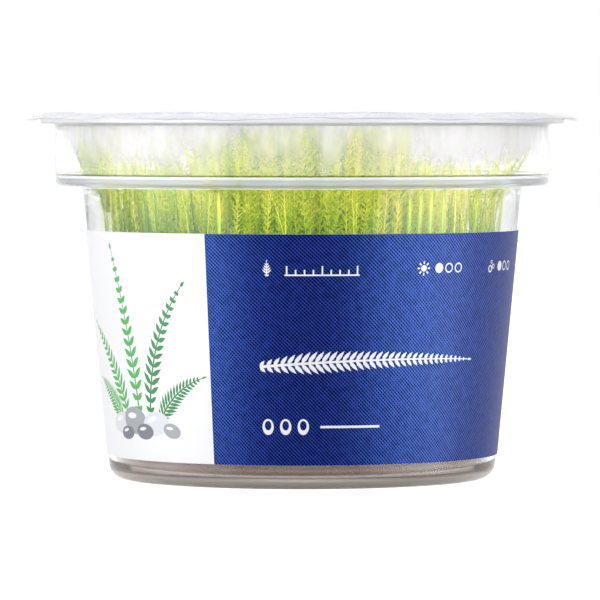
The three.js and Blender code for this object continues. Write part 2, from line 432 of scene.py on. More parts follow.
@dataclass(frozen=True)
class ClearPlastic:
    """Moulded clear plastic, with a mist of fine water on the inside of its collar, and bands of painted
    shade and painted reflection in its tint by height.
    """

    name: str = "clear_plastic"
    ior: float = 1.25
    roughness: float = 0.01
    mist_from: float = 57.5
    mist_full: float = 68.0
    mist_low: float = 0.17
    mist_share: float = 0.66
    mist_blur: float = 0.02
    patch_scale: float = 170.0
    patch_low: float = 0.45
    patch_high: float = 1.2
    veil: Colour = srgb(209, 209, 208)
    veil_full: float = 0.3
    side_mist_and_sheen: float = 0.045
    side_sheen_from: float = 14.0
    side_sheen_full: float = 26.0
    base_full: float = 1.6
    base_top: float = 3.5
    base_cloud: float = 0.46
    rim_low: float = 56.2
    rim_high: float = 58.3
    rim_cloud: float = 0.38
    flange_low: float = 68.25
    flange_cloud: float = 0.5
    full_height: float = 70.0
    streak_scale: float = 260.0
    streak_depth: float = 0.00008
    streak_strength: float = 0.12
    # Tints by height: the plastic's own tint, with bands of painted shade and painted reflection in it.
    tints_and_painted_light: tuple[tuple[float, Colour], ...] = (
        (0.0, srgb(236, 226, 218)),
        (1.8, srgb(236, 226, 218)),
        # Painted shade: a darker band low on the foot.
        (2.0, srgb(164, 156, 150)),
        (2.9, srgb(164, 156, 150)),
        (3.5, srgb(250, 251, 252)),
        (56.3, srgb(250, 251, 252)),
        # Painted reflection on the shoulder band: grey, with a bluish line from the blue label.
        (56.5, srgb(212, 213, 208)),
        (57.1, srgb(214, 215, 211)),
        (57.4, srgb(204, 208, 219)),
        (57.7, srgb(208, 212, 221)),
        (57.9, srgb(228, 229, 231)),
        (58.3, srgb(236, 237, 238)),
        # Painted shadow: a dark green line where the moss meets the ledge.
        (58.35, srgb(140, 150, 112)),
        (58.55, srgb(140, 150, 112)),
        (58.62, srgb(248, 247, 249)),
        (67.98, srgb(248, 247, 249)),
        # Painted shadow: a dark line under the flange.
        (68.02, srgb(168, 171, 164)),
        (68.2, srgb(168, 171, 164)),
        (68.26, srgb(230, 230, 231)),
    )

    def inner_face(self, graph: ShaderGraph, place: bpy.types.NodeSocket) -> bpy.types.NodeSocket:
        """Finds the inside of the wall, which the mist sits on.

        Args:
            graph: The material's graph.
            place: The place on the object.

        Returns:
            The socket with 1 on the inside and 0 on the outside.
        """
        flat = graph.add("VectorMath", {0: place, 1: (1, 1, 0)}, operation="MULTIPLY").outputs[0]
        geometry = graph.add("NewGeometry").outputs
        facing = graph.add("VectorMath", {0: flat, 1: geometry["True Normal"]}, operation="DOT_PRODUCT")
        outward = graph.maths("GREATER_THAN", facing.outputs["Value"], 0.0)
        return graph.maths("COMPARE", outward, geometry["Backfacing"], 0.5)

    def mist(self, graph: ShaderGraph, place: bpy.types.NodeSocket) -> bpy.types.NodeSocket:
        """Spreads the mist: thicker towards the film, thin at the right side, where it is also a painted
        sheen of the right light panel, and in patches.

        Args:
            graph: The material's graph.
            place: The place on the object.

        Returns:
            The socket with the mist's share.
        """
        axes = graph.add("SeparateXYZ", {0: place}).outputs
        rise = graph.span(axes["Z"], self.mist_from * MM, self.mist_full * MM,
                          self.mist_low, self.mist_share)
        start = graph.span(axes["Z"], (self.mist_from - 0.4) * MM, self.mist_from * MM)
        # Painted sheen: a thin whitening at the right side, where the right light panel is mirrored.
        side = graph.span(axes["X"], self.side_sheen_from * MM, self.side_sheen_full * MM, 0, self.side_mist_and_sheen)
        noise = graph.noise(graph.place((1, 1, 0.4)), self.patch_scale, 6, 0.6)
        patches = graph.span(noise, 0.3, 0.7, self.patch_low, self.patch_high)
        mist = graph.maths("MAXIMUM", graph.maths("MULTIPLY", rise, start), side)
        mist = graph.maths("MULTIPLY", mist, patches)
        return graph.maths("MULTIPLY", mist, self.inner_face(graph, place))

    def make(self) -> bpy.types.Material:
        """Builds the material.

        Returns:
            The material.
        """
        graph = ShaderGraph(self.name)
        place = graph.place()
        height = graph.add("SeparateXYZ", {0: place}).outputs["Z"]
        mist = self.mist(graph, place)
        base = graph.span(height, self.base_full * MM, self.base_top * MM, 1, 0)
        rim = graph.maths("MULTIPLY", graph.span(height, (self.rim_low - 0.1) * MM, self.rim_low * MM),
                          graph.span(height, self.rim_high * MM, (self.rim_high + 0.2) * MM, 1, 0))
        flange = graph.span(height, self.flange_low * MM, (self.flange_low + 0.05) * MM)
        clear = graph.maths("SUBTRACT", 1.0, mist)
        for zone, cloud in ((base, self.base_cloud), (rim, self.rim_cloud), (flange, self.flange_cloud)):
            clear = graph.maths("MULTIPLY_ADD", zone, -cloud, clear, clamp=True)
        graph.join(clear, graph.shader.inputs["Transmission Weight"])
        share = graph.maths("MULTIPLY", height, 1 / (self.full_height * MM))
        stops = [(z / self.full_height, colour) for z, colour in self.tints_and_painted_light]
        veil = graph.ramp(mist, [(0.0, (1.0, 1.0, 1.0)), (self.veil_full, self.veil)])
        tint = graph.add("Mix", {0: 1.0, 6: graph.ramp(share, stops), 7: veil}, data_type="RGBA",
                         blend_type="MULTIPLY")
        graph.join(tint.outputs[2], graph.shader.inputs["Base Color"])
        blur = graph.maths("MULTIPLY_ADD", mist, self.mist_blur / self.mist_share, self.roughness)
        graph.join(blur, graph.shader.inputs["Roughness"])
        graph.finish(IOR=self.ior)
        streaks = graph.noise(graph.place((1, 1, 0.25)), self.streak_scale)
        graph.bump(streaks, self.streak_depth, self.streak_strength)
        return graph.material


@dataclass(frozen=True)
class SealFilm:
    """Thin clear film, hazy where it is sealed and creased where it hangs free; its grey rim tint is
    partly painted shade of the hanging folds.
    """

    name: str = "seal_film"
    ior: float = 1.4
    roughness: float = 0.06
    seal_inner: float = 46.6
    seal_edge: float = 0.4
    haze: float = 0.1
    seal_haze: float = 0.42
    free_tint: Colour = srgb(238, 239, 242)
    seal_tint_and_shade: Colour = srgb(191, 191, 197)
    patch_scale: float = 120.0
    crease_scale: float = 180.0
    crease_depth: float = 0.0002
    crease_strength: float = 0.25

    def make(self) -> bpy.types.Material:
        """Builds the material.

        Returns:
            The material.
        """
        graph = ShaderGraph(self.name)
        place = graph.place()
        flat = graph.add("VectorMath", {0: place, 1: (1, 1, 0)}, operation="MULTIPLY").outputs[0]
        reach = graph.add("VectorMath", {0: flat}, operation="LENGTH").outputs["Value"]
        sealed = graph.span(reach, (self.seal_inner - self.seal_edge) * MM, self.seal_inner * MM)
        patches = graph.span(graph.noise(place, self.patch_scale, 4), 0.35, 0.7, 0.7, 1.1)
        extra = graph.maths("MULTIPLY", graph.maths("MULTIPLY", sealed, patches), self.seal_haze)
        clear = graph.maths("SUBTRACT", 1 - self.haze, extra)
        graph.join(clear, graph.shader.inputs["Transmission Weight"])
        # The grey of the sealed rim and the hanging edge is partly the seal's haze and partly painted
        # shade of the folds.
        colour = graph.ramp(sealed, [(0.0, self.free_tint), (1.0, self.seal_tint_and_shade)])
        graph.join(colour, graph.shader.inputs["Base Color"])
        graph.finish(IOR=self.ior, Roughness=self.roughness)
        creases = graph.noise(place, self.crease_scale, 4)
        graph.bump(creases, self.crease_depth, self.crease_strength)
        return graph.material


@dataclass(frozen=True)
class SetGel:
    """Set nutrient gel, cloudy grey, which takes light away along its depth."""

    name: str = "nutrient_gel"
    ior: float = 1.34
    roughness: float = 0.16
    density: float = 48.0
    tint: Colour = srgb(236, 228, 222)
    depth_tint: Colour = srgb(206, 186, 172)
    layer_scale: float = 160.0
    grain_scale: float = 220.0
    grain_depth: float = 0.0001
    grain_strength: float = 0.2

    def make(self) -> bpy.types.Material:
        """Builds the material.

        Returns:
            The material.
        """
        graph = ShaderGraph(self.name)
        layers = graph.noise(graph.place((0.3, 0.3, 6)), self.layer_scale, 2)
        cloud = graph.span(layers, 0.3, 0.75, 0.95, 0.84)
        graph.join(cloud, graph.shader.inputs["Transmission Weight"])
        graph.finish(Base_Color=self.tint, IOR=self.ior, Roughness=self.roughness)
        depth = {"Color": (*self.depth_tint, 1), "Density": self.density}
        absorb = graph.add("VolumeAbsorption", depth)
        output = graph.tree.nodes["Material Output"]
        graph.join(absorb.outputs[0], output.inputs["Volume"])
        grain = graph.noise(graph.place((1, 1, 3)), self.grain_scale)
        graph.bump(grain, self.grain_depth, self.grain_strength)
        return graph.material


@dataclass(frozen=True)
class Water:
    """Clear water drops."""

    name: str = "water"
    ior: float = 1.33

    def make(self) -> bpy.types.Material:
        """Builds the material.

        Returns:
            The material.
        """
        graph = ShaderGraph(self.name)
        graph.finish(Base_Color=(1, 1, 1), IOR=self.ior, Roughness=0.0, Transmission_Weight=1.0)
        return graph.material


@dataclass(frozen=True)
class MossTissue:
    """Moist moss, coloured from dark green to yellow by each part's tone."""

    name: str
    stops: tuple[tuple[float, Colour], ...]
    mottle: float = 0.25
    roughness: float = 0.5
    gloss: float = 0.2
    spot_scale: float = 700.0
    tone_layer: str = "tone"

    def make(self) -> bpy.types.Material:
        """Builds the material.

        Returns:
            The material.
        """
        graph = ShaderGraph(self.name)
        tone = graph.add("Attribute", attribute_name=self.tone_layer).outputs["Fac"]
        spots = graph.noise(graph.place(), self.spot_scale, 2)
        shift = graph.maths("MULTIPLY", graph.maths("SUBTRACT", spots, 0.5), self.mottle)
        mixed = graph.maths("ADD", tone, shift, clamp=True)
        graph.join(graph.ramp(mixed, self.stops), graph.shader.inputs["Base Color"])
        graph.finish(Roughness=self.roughness, Specular_IOR_Level=self.gloss)
        return graph.material

    @classmethod
    def set_tones(cls, piece: bpy.types.Object, tones: np.ndarray) -> None:
        """Writes the tones that the material reads.

        Args:
            piece: The mesh object.
            tones: One tone for each point, which is kept from 0 to 1.
        """
        layer = piece.data.attributes.new(cls.tone_layer, "FLOAT", "POINT")
        layer.data.foreach_set("value", np.clip(tones, 0, 1).astype(np.float32))


class Ink(Enum):
    """The printed colours of the label, in the order of its material numbers.

    The last one is the plain back of the label, which its inner side and its edges get.
    """

    WHITE = 0
    BLUE = 1
    PALE_GREY = 2
    GREY = 3
    DARK_GREY = 4
    LEAF = 5
    DARK_LEAF = 6
    PAPER = 7


@dataclass(frozen=True)
class PrintedFilm:
    """One printed colour of the glossy label, with a fine diagonal screen in it.

    A screen stronger than gloss_from shows in the gloss as well as in the colour.
    """

    ink: Ink
    light: Colour
    dark: Colour
    screen: float = 0.05
    sheen: float = 0.2
    cells: tuple[float, float] = (1.0, 1.0)
    tint: Colour = (1.0, 1.0, 1.0)
    roughness: float = 0.44
    cross_share: float = 0.6
    mottle: float = 1.6
    mottle_scale: float = 900.0
    gloss_from: float = 0.1
    wave_scale: float = 60.0
    wave_depth: float = 0.00006
    wave_strength: float = 0.15

    def make(self) -> bpy.types.Material:
        """Builds the material.

        Returns:
            The material.
        """
        graph = ShaderGraph("label_" + self.ink.name.lower())
        print_map = graph.add("UVMap", uv_map="print").outputs["UV"]
        scale = (self.cells[0] * 2 * math.pi, self.cells[1] * 2 * math.pi, 1)
        cell = graph.add("Mapping", {"Vector": print_map, "Scale": scale}).outputs["Vector"]
        axes = graph.add("SeparateXYZ", {0: cell})
        rising = graph.maths("SINE", graph.maths("ADD", axes.outputs["X"], axes.outputs["Y"]))
        falling = graph.maths("SUBTRACT", axes.outputs["X"], axes.outputs["Y"])
        weave = graph.maths("MULTIPLY_ADD", graph.maths("SINE", falling), self.cross_share, rising)
        mottle = graph.maths("SUBTRACT", graph.noise(graph.place(), self.mottle_scale), 0.5)
        weave = graph.maths("MULTIPLY_ADD", mottle, self.mottle, weave)
        share = graph.maths("MULTIPLY_ADD", weave, self.screen, 0.5, clamp=True)
        colour = graph.ramp(share, [(0.0, self.dark), (1.0, self.light)])
        graph.join(colour, graph.shader.inputs["Base Color"])
        if self.screen > self.gloss_from:
            sheen = graph.maths("MULTIPLY_ADD", share, 1.6 * self.sheen, 0.2 * self.sheen)
            graph.join(sheen, graph.shader.inputs["Specular IOR Level"])
        graph.finish(Roughness=self.roughness, Specular_IOR_Level=self.sheen, Specular_Tint=self.tint)
        waves = graph.noise(graph.place(), self.wave_scale)
        graph.bump(waves, self.wave_depth, self.wave_strength)
        return graph.material


# The cup and what closes it


@dataclass
class Cup:
    """The clear cup in one piece: recessed base, tapered body, shoulder, collar and flange."""

    base_radius: float = 37.0
    top_radius: float = 42.3
    shoulder: float = 56.4
    shoulder_thickness: float = 1.4
    collar_radius: float = 47.5
    wall: float = 1.1
    corner: float = 3.0
    recess_radius: float = 28.5
    recess_depth: float = 1.0
    recess_slope: float = 1.5
    floor_thickness: float = 1.2
    flange_thickness: float = 1.8
    fillet: float = 0.6
    flange_radius: float = field(init=False)
    flange_top: float = field(init=False)

    def __post_init__(self) -> None:
        """Takes the flange's radius and height from the frame."""
        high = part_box("cup")[1]
        self.flange_radius = high.x / MM
        self.flange_top = high.z / MM

    @property
    def ledge(self) -> float:
        """The height of the shoulder's upper side, where the collar starts, in millimetres."""
        return self.shoulder + self.shoulder_thickness

    @property
    def floor(self) -> float:
        """The height of the floor inside the cup, in millimetres."""
        return self.recess_depth + self.floor_thickness

    def outside(self, height: np.ndarray | float) -> np.ndarray | float:
        """Gives the body's outer radius at a height, in millimetres."""
        return self.base_radius + (self.top_radius - self.base_radius) * height / self.shoulder

    def inside(self, height: np.ndarray | float) -> np.ndarray | float:
        """Gives the inner radius, in the body or in the collar.

        Args:
            height: One height or an array of them, in millimetres.

        Returns:
            The inner radius at each height, in millimetres.
        """
        step = ease(self.shoulder, self.ledge, height)
        body = self.outside(height) - self.wall
        return body + step * (self.collar_radius - self.wall - body)

    def outer_profile(self) -> Profile:
        """Gives the outside, from the middle of the base up to the flange's edge.

        Returns:
            The profile in millimetres.
        """
        corner_radius = self.outside(self.corner) - self.corner
        edge = 0.9
        under = self.flange_top - self.flange_thickness
        recess_edge = self.recess_radius + self.recess_slope
        return [
            (6.0, self.recess_depth),
            (self.recess_radius - 0.4, self.recess_depth),
            (self.recess_radius, self.recess_depth - 0.1),
            (recess_edge - 0.3, 0.12),
            (recess_edge + 0.2, 0.0),
            *arc((corner_radius, self.corner), self.corner, -90, 0, 12),
            (self.outside(20), 20),
            (self.outside(40), 40),
            (self.outside(self.shoulder - 0.9), self.shoulder - 0.9),
            (self.top_radius + 0.25, self.shoulder - 0.25),
            (self.top_radius + 0.9, self.shoulder),
            (self.collar_radius - edge - 1.2, self.shoulder),
            *arc((self.collar_radius - edge, self.shoulder + edge), edge, -90, 0, 8),
            (self.collar_radius, self.shoulder + 1.3),
            (self.collar_radius, under - 1.3),
            (self.collar_radius, under - 1.0),
            (self.collar_radius + 0.15, under - 0.35),
            (self.collar_radius + 0.6, under),
            *arc((self.flange_radius - 0.35, under + 0.35), 0.35, -90, 0, 4),
            *arc((self.flange_radius - 0.35, self.flange_top - 0.35), 0.35, 0, 90, 4),
        ]

    def inner_profile(self) -> Profile:
        """Gives the inside, from the flange's top down to the middle of the floor.

        Returns:
            The profile in millimetres.
        """
        collar_inner = self.collar_radius - self.wall
        ledge, floor = self.ledge, self.floor
        corner = self.corner - self.wall
        body_top = self.outside(self.shoulder) - self.wall
        corner_radius = self.outside(floor + corner) - self.wall - corner
        return [
            (collar_inner + 0.3, self.flange_top),
            (collar_inner, self.flange_top - 0.3),
            (collar_inner - 0.01, self.flange_top - 0.8),
            (collar_inner - 0.14, ledge + 1.2),
            *arc((collar_inner - 0.15 - self.fillet, ledge + self.fillet), self.fillet, 0, -90, 6),
            *arc((body_top + self.fillet, ledge - self.fillet), self.fillet, 90, 180, 6),
            (self.outside(40) - self.wall, 40),
            (self.outside(20) - self.wall, 20),
            *arc((corner_radius, floor + corner), corner, 0, -90, 8),
            (20.0, floor),
            (6.0, floor),
        ]

    def build(self) -> None:
        """Builds the cup and dresses it."""
        piece = turned("cup_shell", self.outer_profile() + self.inner_profile())
        smooth(piece, 32)
        dress(piece, [ClearPlastic().make()], ["cup"], shades=False)


@dataclass
class LooseFilm:
    """The sealing film, flat over the mouth, with a loose edge that hangs in waves."""

    cup: Cup
    thickness: float = 0.13
    seal_thickness: float = 0.3
    gap: float = 0.05
    drop: float = 1.05
    sag: float = 0.25
    ripples: tuple[tuple[float, int, float], ...] = (
        (0.42, 6, 0.6), (0.30, 10, 1.3), (0.30, 17, 0.4), (0.16, 31, 2.0),
    )
    rings: int = 9
    sides: int = 384

    @property
    def hem(self) -> float:
        """Where the sealed rim ends and the loose edge starts, in millimetres."""
        return self.cup.flange_radius + 0.15

    @property
    def edge(self) -> float:
        """How far the loose edge reaches, in millimetres, which is a little less than the frame's."""
        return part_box("seal_film")[1].x / MM - 0.4

    def waves(self, angle: np.ndarray) -> np.ndarray:
        """Adds up the ripples of the loose edge, each a height, a count round the cup and a phase.

        Args:
            angle: Angles round the cup in radians.

        Returns:
            The wave at each angle, from about -1 to 1.
        """
        return sum(height * np.sin(count * angle + phase) for height, count, phase in self.ripples)

    def profile(self) -> Profile:
        """Gives both faces of the film, from the middle of the underside round to the top.

        Returns:
            The profile in millimetres.
        """
        low = self.cup.flange_top + self.gap
        seal = self.cup.collar_radius - self.cup.wall
        loose = [float(r) for r in np.linspace(self.hem, self.edge, self.rings)]
        under = [(5.0, low + 0.1), (15.0, low + 0.1), (30.0, low + 0.1), (seal - 1.5, low + 0.08)]
        under += [(seal + 0.2, low)] + [(r, low) for r in loose]
        top = [(r, low + self.thickness) for r in reversed(loose)]
        top += [(self.hem - 0.4, low + self.seal_thickness), (seal + 0.9, low + self.seal_thickness)]
        top += [(seal + 0.2, low + 0.24), (seal - 1.5, low + 0.22)]
        top += [(30.0, low + 0.23), (15.0, low + 0.23), (5.0, low + 0.23)]
        return under + top

    def hang(self, piece: bpy.types.Object) -> None:
        """Lets the loose edge hang in waves and the middle sag a little.

        Args:
            piece: The flat film.
        """
        points = points_of(piece) / MM
        angle = np.arctan2(points[:, 1], points[:, 0])
        reach = np.hypot(points[:, 0], points[:, 1])
        loose = np.clip((reach - self.hem) / (self.edge - self.hem), 0, 1)
        wave = self.waves(angle)
        points[:, 2] -= self.drop * loose**1.4 * (0.92 + 0.3 * wave)
        points[:, 2] -= self.sag * (1 - ease(8.0, 44.0, reach))
        points[:, 2] += 0.1 * ease(30, 47, reach) * (1 - loose) * np.sin(9 * angle + 1) - 0.1
        sway = 1 + 0.005 * loose * wave
        points[:, 0] *= sway
        points[:, 1] *= sway
        move_points(piece, points * MM)

    def build(self) -> None:
        """Builds the film and dresses it."""
        piece = turned("seal_film_sheet", self.profile(), self.sides)
        self.hang(piece)
        smooth(piece, 60)
        dress(piece, [SealFilm().make()], ["seal_film"], shades=False)


@dataclass
class Drops:
    """Water drops on the inside of the cup and under the film."""

    cup: Cup
    seed: int = 11
    body_drops: int = 70
    collar_drops: int = 120
    film_drops: int = 80
    large: tuple[tuple[float, float, float], ...] = (
        (22.9, 63.4, 1.05), (-30.0, 62.0, 0.5), (28.0, 66.0, 0.55), (4.2, 59.6, 0.5),
    )
    body_heights: Point = (14.0, 55.0)
    collar_heights: Point = (60.5, 68.5)
    film_reach: float = 44.0
    film_gap: float = 0.42
    stand_off: float = 0.03
    proud: float = 0.42
    sides: int = 12
    rows: int = 4

    def drop(self, foot: np.ndarray, inward: np.ndarray, radius: float,
             stretch: float) -> tuple[np.ndarray, np.ndarray]:
        """Shapes one flattened drop on a wall.

        Args:
            foot: The middle of its foot on the wall, in millimetres.
            inward: The direction that it stands out in.
            radius: Its radius on the wall.
            stretch: How much longer it is downwards than across.

        Returns:
            Its points in millimetres, and its triangles.
        """
        down = np.array([0.0, 0.0, -1.0])
        if abs(inward[2]) > 0.9:
            down = np.array([1.0, 0.0, 0.0])
        across = unit(np.cross(down, inward))
        down = np.cross(inward, across)
        points = [foot]
        for row in range(self.rows):
            lift = math.pi / 2 * row / self.rows
            for side in range(self.sides):
                turn = 2 * math.pi * side / self.sides
                along = math.sin(turn) * (stretch if math.sin(turn) > 0 else 1)
                flat = across * math.cos(turn) + down * along
                rise = inward * self.proud * math.sin(lift)
                points.append(foot + radius * (flat * math.cos(lift) + rise))
        points.append(foot + radius * self.proud * inward)
        top = len(points) - 1
        faces = []
        for side in range(self.sides):
            after = (side + 1) % self.sides
            faces.append((0, 1 + after, 1 + side))
            for row in range(self.rows - 1):
                a, b = 1 + row * self.sides + side, 1 + row * self.sides + after
                c, d = a + self.sides, b + self.sides
                faces += [(a, b, d), (a, d, c)]
            last = 1 + (self.rows - 1) * self.sides
            faces.append((last + side, last + after, top))
        return np.array(points), np.array(faces)

    def places(self, rng: np.random.Generator) -> list[tuple[np.ndarray, np.ndarray, float, float]]:
        """Chooses where the drops sit and how large they are.

        Args:
            rng: The source of random numbers.

        Returns:
            The foot, the inward direction, the radius and the stretch of each drop.
        """
        found = []
        collar = self.cup.collar_radius - self.cup.wall - 0.15 - self.stand_off
        for count, (low, high), small, large in (
            (self.body_drops, self.body_heights, 0.14, 0.4),
            (self.collar_drops, self.collar_heights, 0.16, 0.6),
        ):
            for _ in range(count):
                turn = rng.uniform(0, 2 * math.pi)
                height = rng.uniform(low, high)
                body = self.cup.outside(height) - self.cup.wall - self.stand_off
                reach = collar if height > self.cup.ledge else body
                radius = small + (large - small) * rng.random() ** 4
                inward = np.array([-math.cos(turn), -math.sin(turn), 0.0])
                foot = np.array([reach * math.cos(turn), reach * math.sin(turn), height])
                foot += inward * 0.06 * radius
                found.append((foot, inward, radius, 1 + 0.9 * rng.random() ** 2))
        for x, height, radius in self.large:
            away = math.sqrt(collar**2 - x**2)
            inward = np.array([-x / collar, away / collar, 0.0])
            found.append((np.array([x, -away, height]), inward, radius, 1.25))
        under = self.cup.flange_top - self.film_gap
        for _ in range(self.film_drops):
            turn = rng.uniform(0, 2 * math.pi)
            reach = self.film_reach * math.sqrt(rng.random())
            foot = np.array([reach * math.cos(turn), reach * math.sin(turn), under])
            radius = 0.25 + 0.9 * rng.random() ** 3
            found.append((foot, np.array([0.0, 0.0, -1.0]), radius, 1.0))
        return found

    def build(self) -> None:
        """Builds the drops as one mesh and dresses it."""
        points, faces, count = [], [], 0
        for place in self.places(np.random.default_rng(self.seed)):
            drop_points, drop_faces = self.drop(*place)
            points.append(drop_points)
            faces.append(drop_faces + count)
            count += len(drop_points)
        piece = mesh_from("water_drops", np.vstack(points) * MM, np.vstack(faces))
        smooth(piece, 70)
        dress(piece, [Water().make()], shades=False)


@dataclass
class Gel:
    """The set gel in the bottom, which climbs the wall a little."""

    cup: Cup
    gap: float = 0.1
    meniscus: float = 0.5
    meniscus_width: float = 1.2

    def profile(self) -> Profile:
        """Gives its outline, from the middle of its underside to the middle of its top.

        Returns:
            The profile in millimetres.
        """
        corner = self.cup.corner - self.cup.wall
        low = self.cup.floor + self.gap
        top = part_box("gel")[1].z / MM - self.meniscus
        corner_radius = self.cup.outside(self.cup.floor + corner) - self.cup.wall - corner
        brim = self.cup.outside(top + self.meniscus) - self.cup.wall - self.gap
        return [
            (6.0, low),
            (22.0, low),
            *arc((corner_radius, low + corner), corner - self.gap, -90, 0, 8),
            (self.cup.outside(9) - self.cup.wall - self.gap, 9),
            (brim, top + self.meniscus),
            (brim - 0.35 * self.meniscus_width, top + 0.3 * self.meniscus),
            (brim - self.meniscus_width, top),
            (30.0, top),
            (20.0, top),
            (6.0, top),
        ]

    def build(self) -> None:
        """Builds the gel and dresses it."""
        piece = turned("gel_body", self.profile())
        smooth(piece, 40)
        dress(piece, [SetGel().make()], ["gel"], shades=False)


# The label


@dataclass
class Shape:
    """One printed shape: its ink and its outline on the unrolled label, in millimetres."""

    ink: Ink
    outline: list[Point]

    def __post_init__(self) -> None:
        """Turns the outline round where it runs clockwise."""
        after = self.outline[1:] + self.outline[:1]
        area = sum(a[0] * b[1] - b[0] * a[1] for a, b in zip(self.outline, after))
        if area < 0:
            self.outline.reverse()


def ellipse(ink: Ink, centre: Point, radii: Point, tilt: float = 0, steps: int = 20) -> Shape:
    """Draws an ellipse.

    Args:
        ink: Its ink.
        centre: Its middle.
        radii: Its two half widths.
        tilt: How far it is turned, in degrees.
        steps: How many corners it has.

    Returns:
        The shape.
    """
    lean = math.radians(tilt)
    outline = []
    for turn in np.linspace(0, 2 * math.pi, steps, endpoint=False):
        across, up = radii[0] * math.cos(turn), radii[1] * math.sin(turn)
        u = centre[0] + across * math.cos(lean) - up * math.sin(lean)
        v = centre[1] + across * math.sin(lean) + up * math.cos(lean)
        outline.append((u, v))
    return Shape(ink, outline)


def bar(ink: Ink, start: Point, end: Point, width: float) -> Shape:
    """Draws a straight bar with plain ends.

    Args:
        ink: Its ink.
        start: The middle of its first end.
        end: The middle of its other end.
        width: Its full width.

    Returns:
        The shape.
    """
    along = Vector((end[0] - start[0], end[1] - start[1])).normalized()
    side = Vector((-along.y, along.x)) * width / 2
    corners = [(start, -1), (end, -1), (end, 1), (start, 1)]
    return Shape(ink, [(p[0] + sign * side.x, p[1] + sign * side.y) for p, sign in corners])


def leaflet(ink: Ink, foot: Point, length: float, width: float, angle: float) -> Shape:
    """Draws a leaflet that is pointed at both ends.

    Args:
        ink: Its ink.
        foot: Where it starts.
        length: How long it is.
        width: How wide it is in the middle.
        angle: Which way it points, in degrees from the label's length.

    Returns:
        The shape.
    """
    turn = math.radians(angle)
    along = Vector((math.cos(turn), math.sin(turn)))
    side = Vector((-along.y, along.x))
    outline = []
    for share, spread in ((0, 0), (0.3, 0.9), (0.6, 0.85), (1, 0), (0.6, -0.85), (0.3, -0.9)):
        point = Vector(foot) + along * length * share + side * width / 2 * spread
        outline.append((point.x, point.y))
    return Shape(ink, outline)


def frond(ink: Ink, foot: Point, length: float, angle: float, curl: float, leaf: float,
          pairs: int, stem: float) -> list[Shape]:
    """Draws a fern frond: a curved stem with pairs of leaflets that shorten to its tip.

    Args:
        ink: Its ink.
        foot: Where it starts.
        length: How long its stem is.
        angle: Which way it starts, in degrees from the label's length.
        curl: How far it has turned at its tip, in degrees.
        leaf: The longest leaflet's length.
        pairs: How many pairs of leaflets it has.
        stem: The stem's width.

    Returns:
        The shapes, the stem's stretches first.
    """
    shapes, leaves = [], []
    point = Vector(foot)
    step = length / pairs
    for number in range(pairs):
        share = number / pairs
        heading = angle + curl * share
        turn = math.radians(heading)
        after = point + Vector((math.cos(turn), math.sin(turn))) * step
        shapes.append(bar(ink, tuple(point), tuple(after), stem * (1 - 0.6 * share)))
        size = leaf * min(1.0, 0.45 + 3 * share) * (1 - share) ** 0.6
        for sign in (-1, 1):
            width = 0.42 * step + 0.1 * size
            leaves.append(leaflet(ink, tuple(point), size, width, heading + 48 * sign))
        point = after
    leaves.append(leaflet(ink, tuple(point), leaf * 0.4, 0.4 * step, angle + curl))
    return shapes + leaves


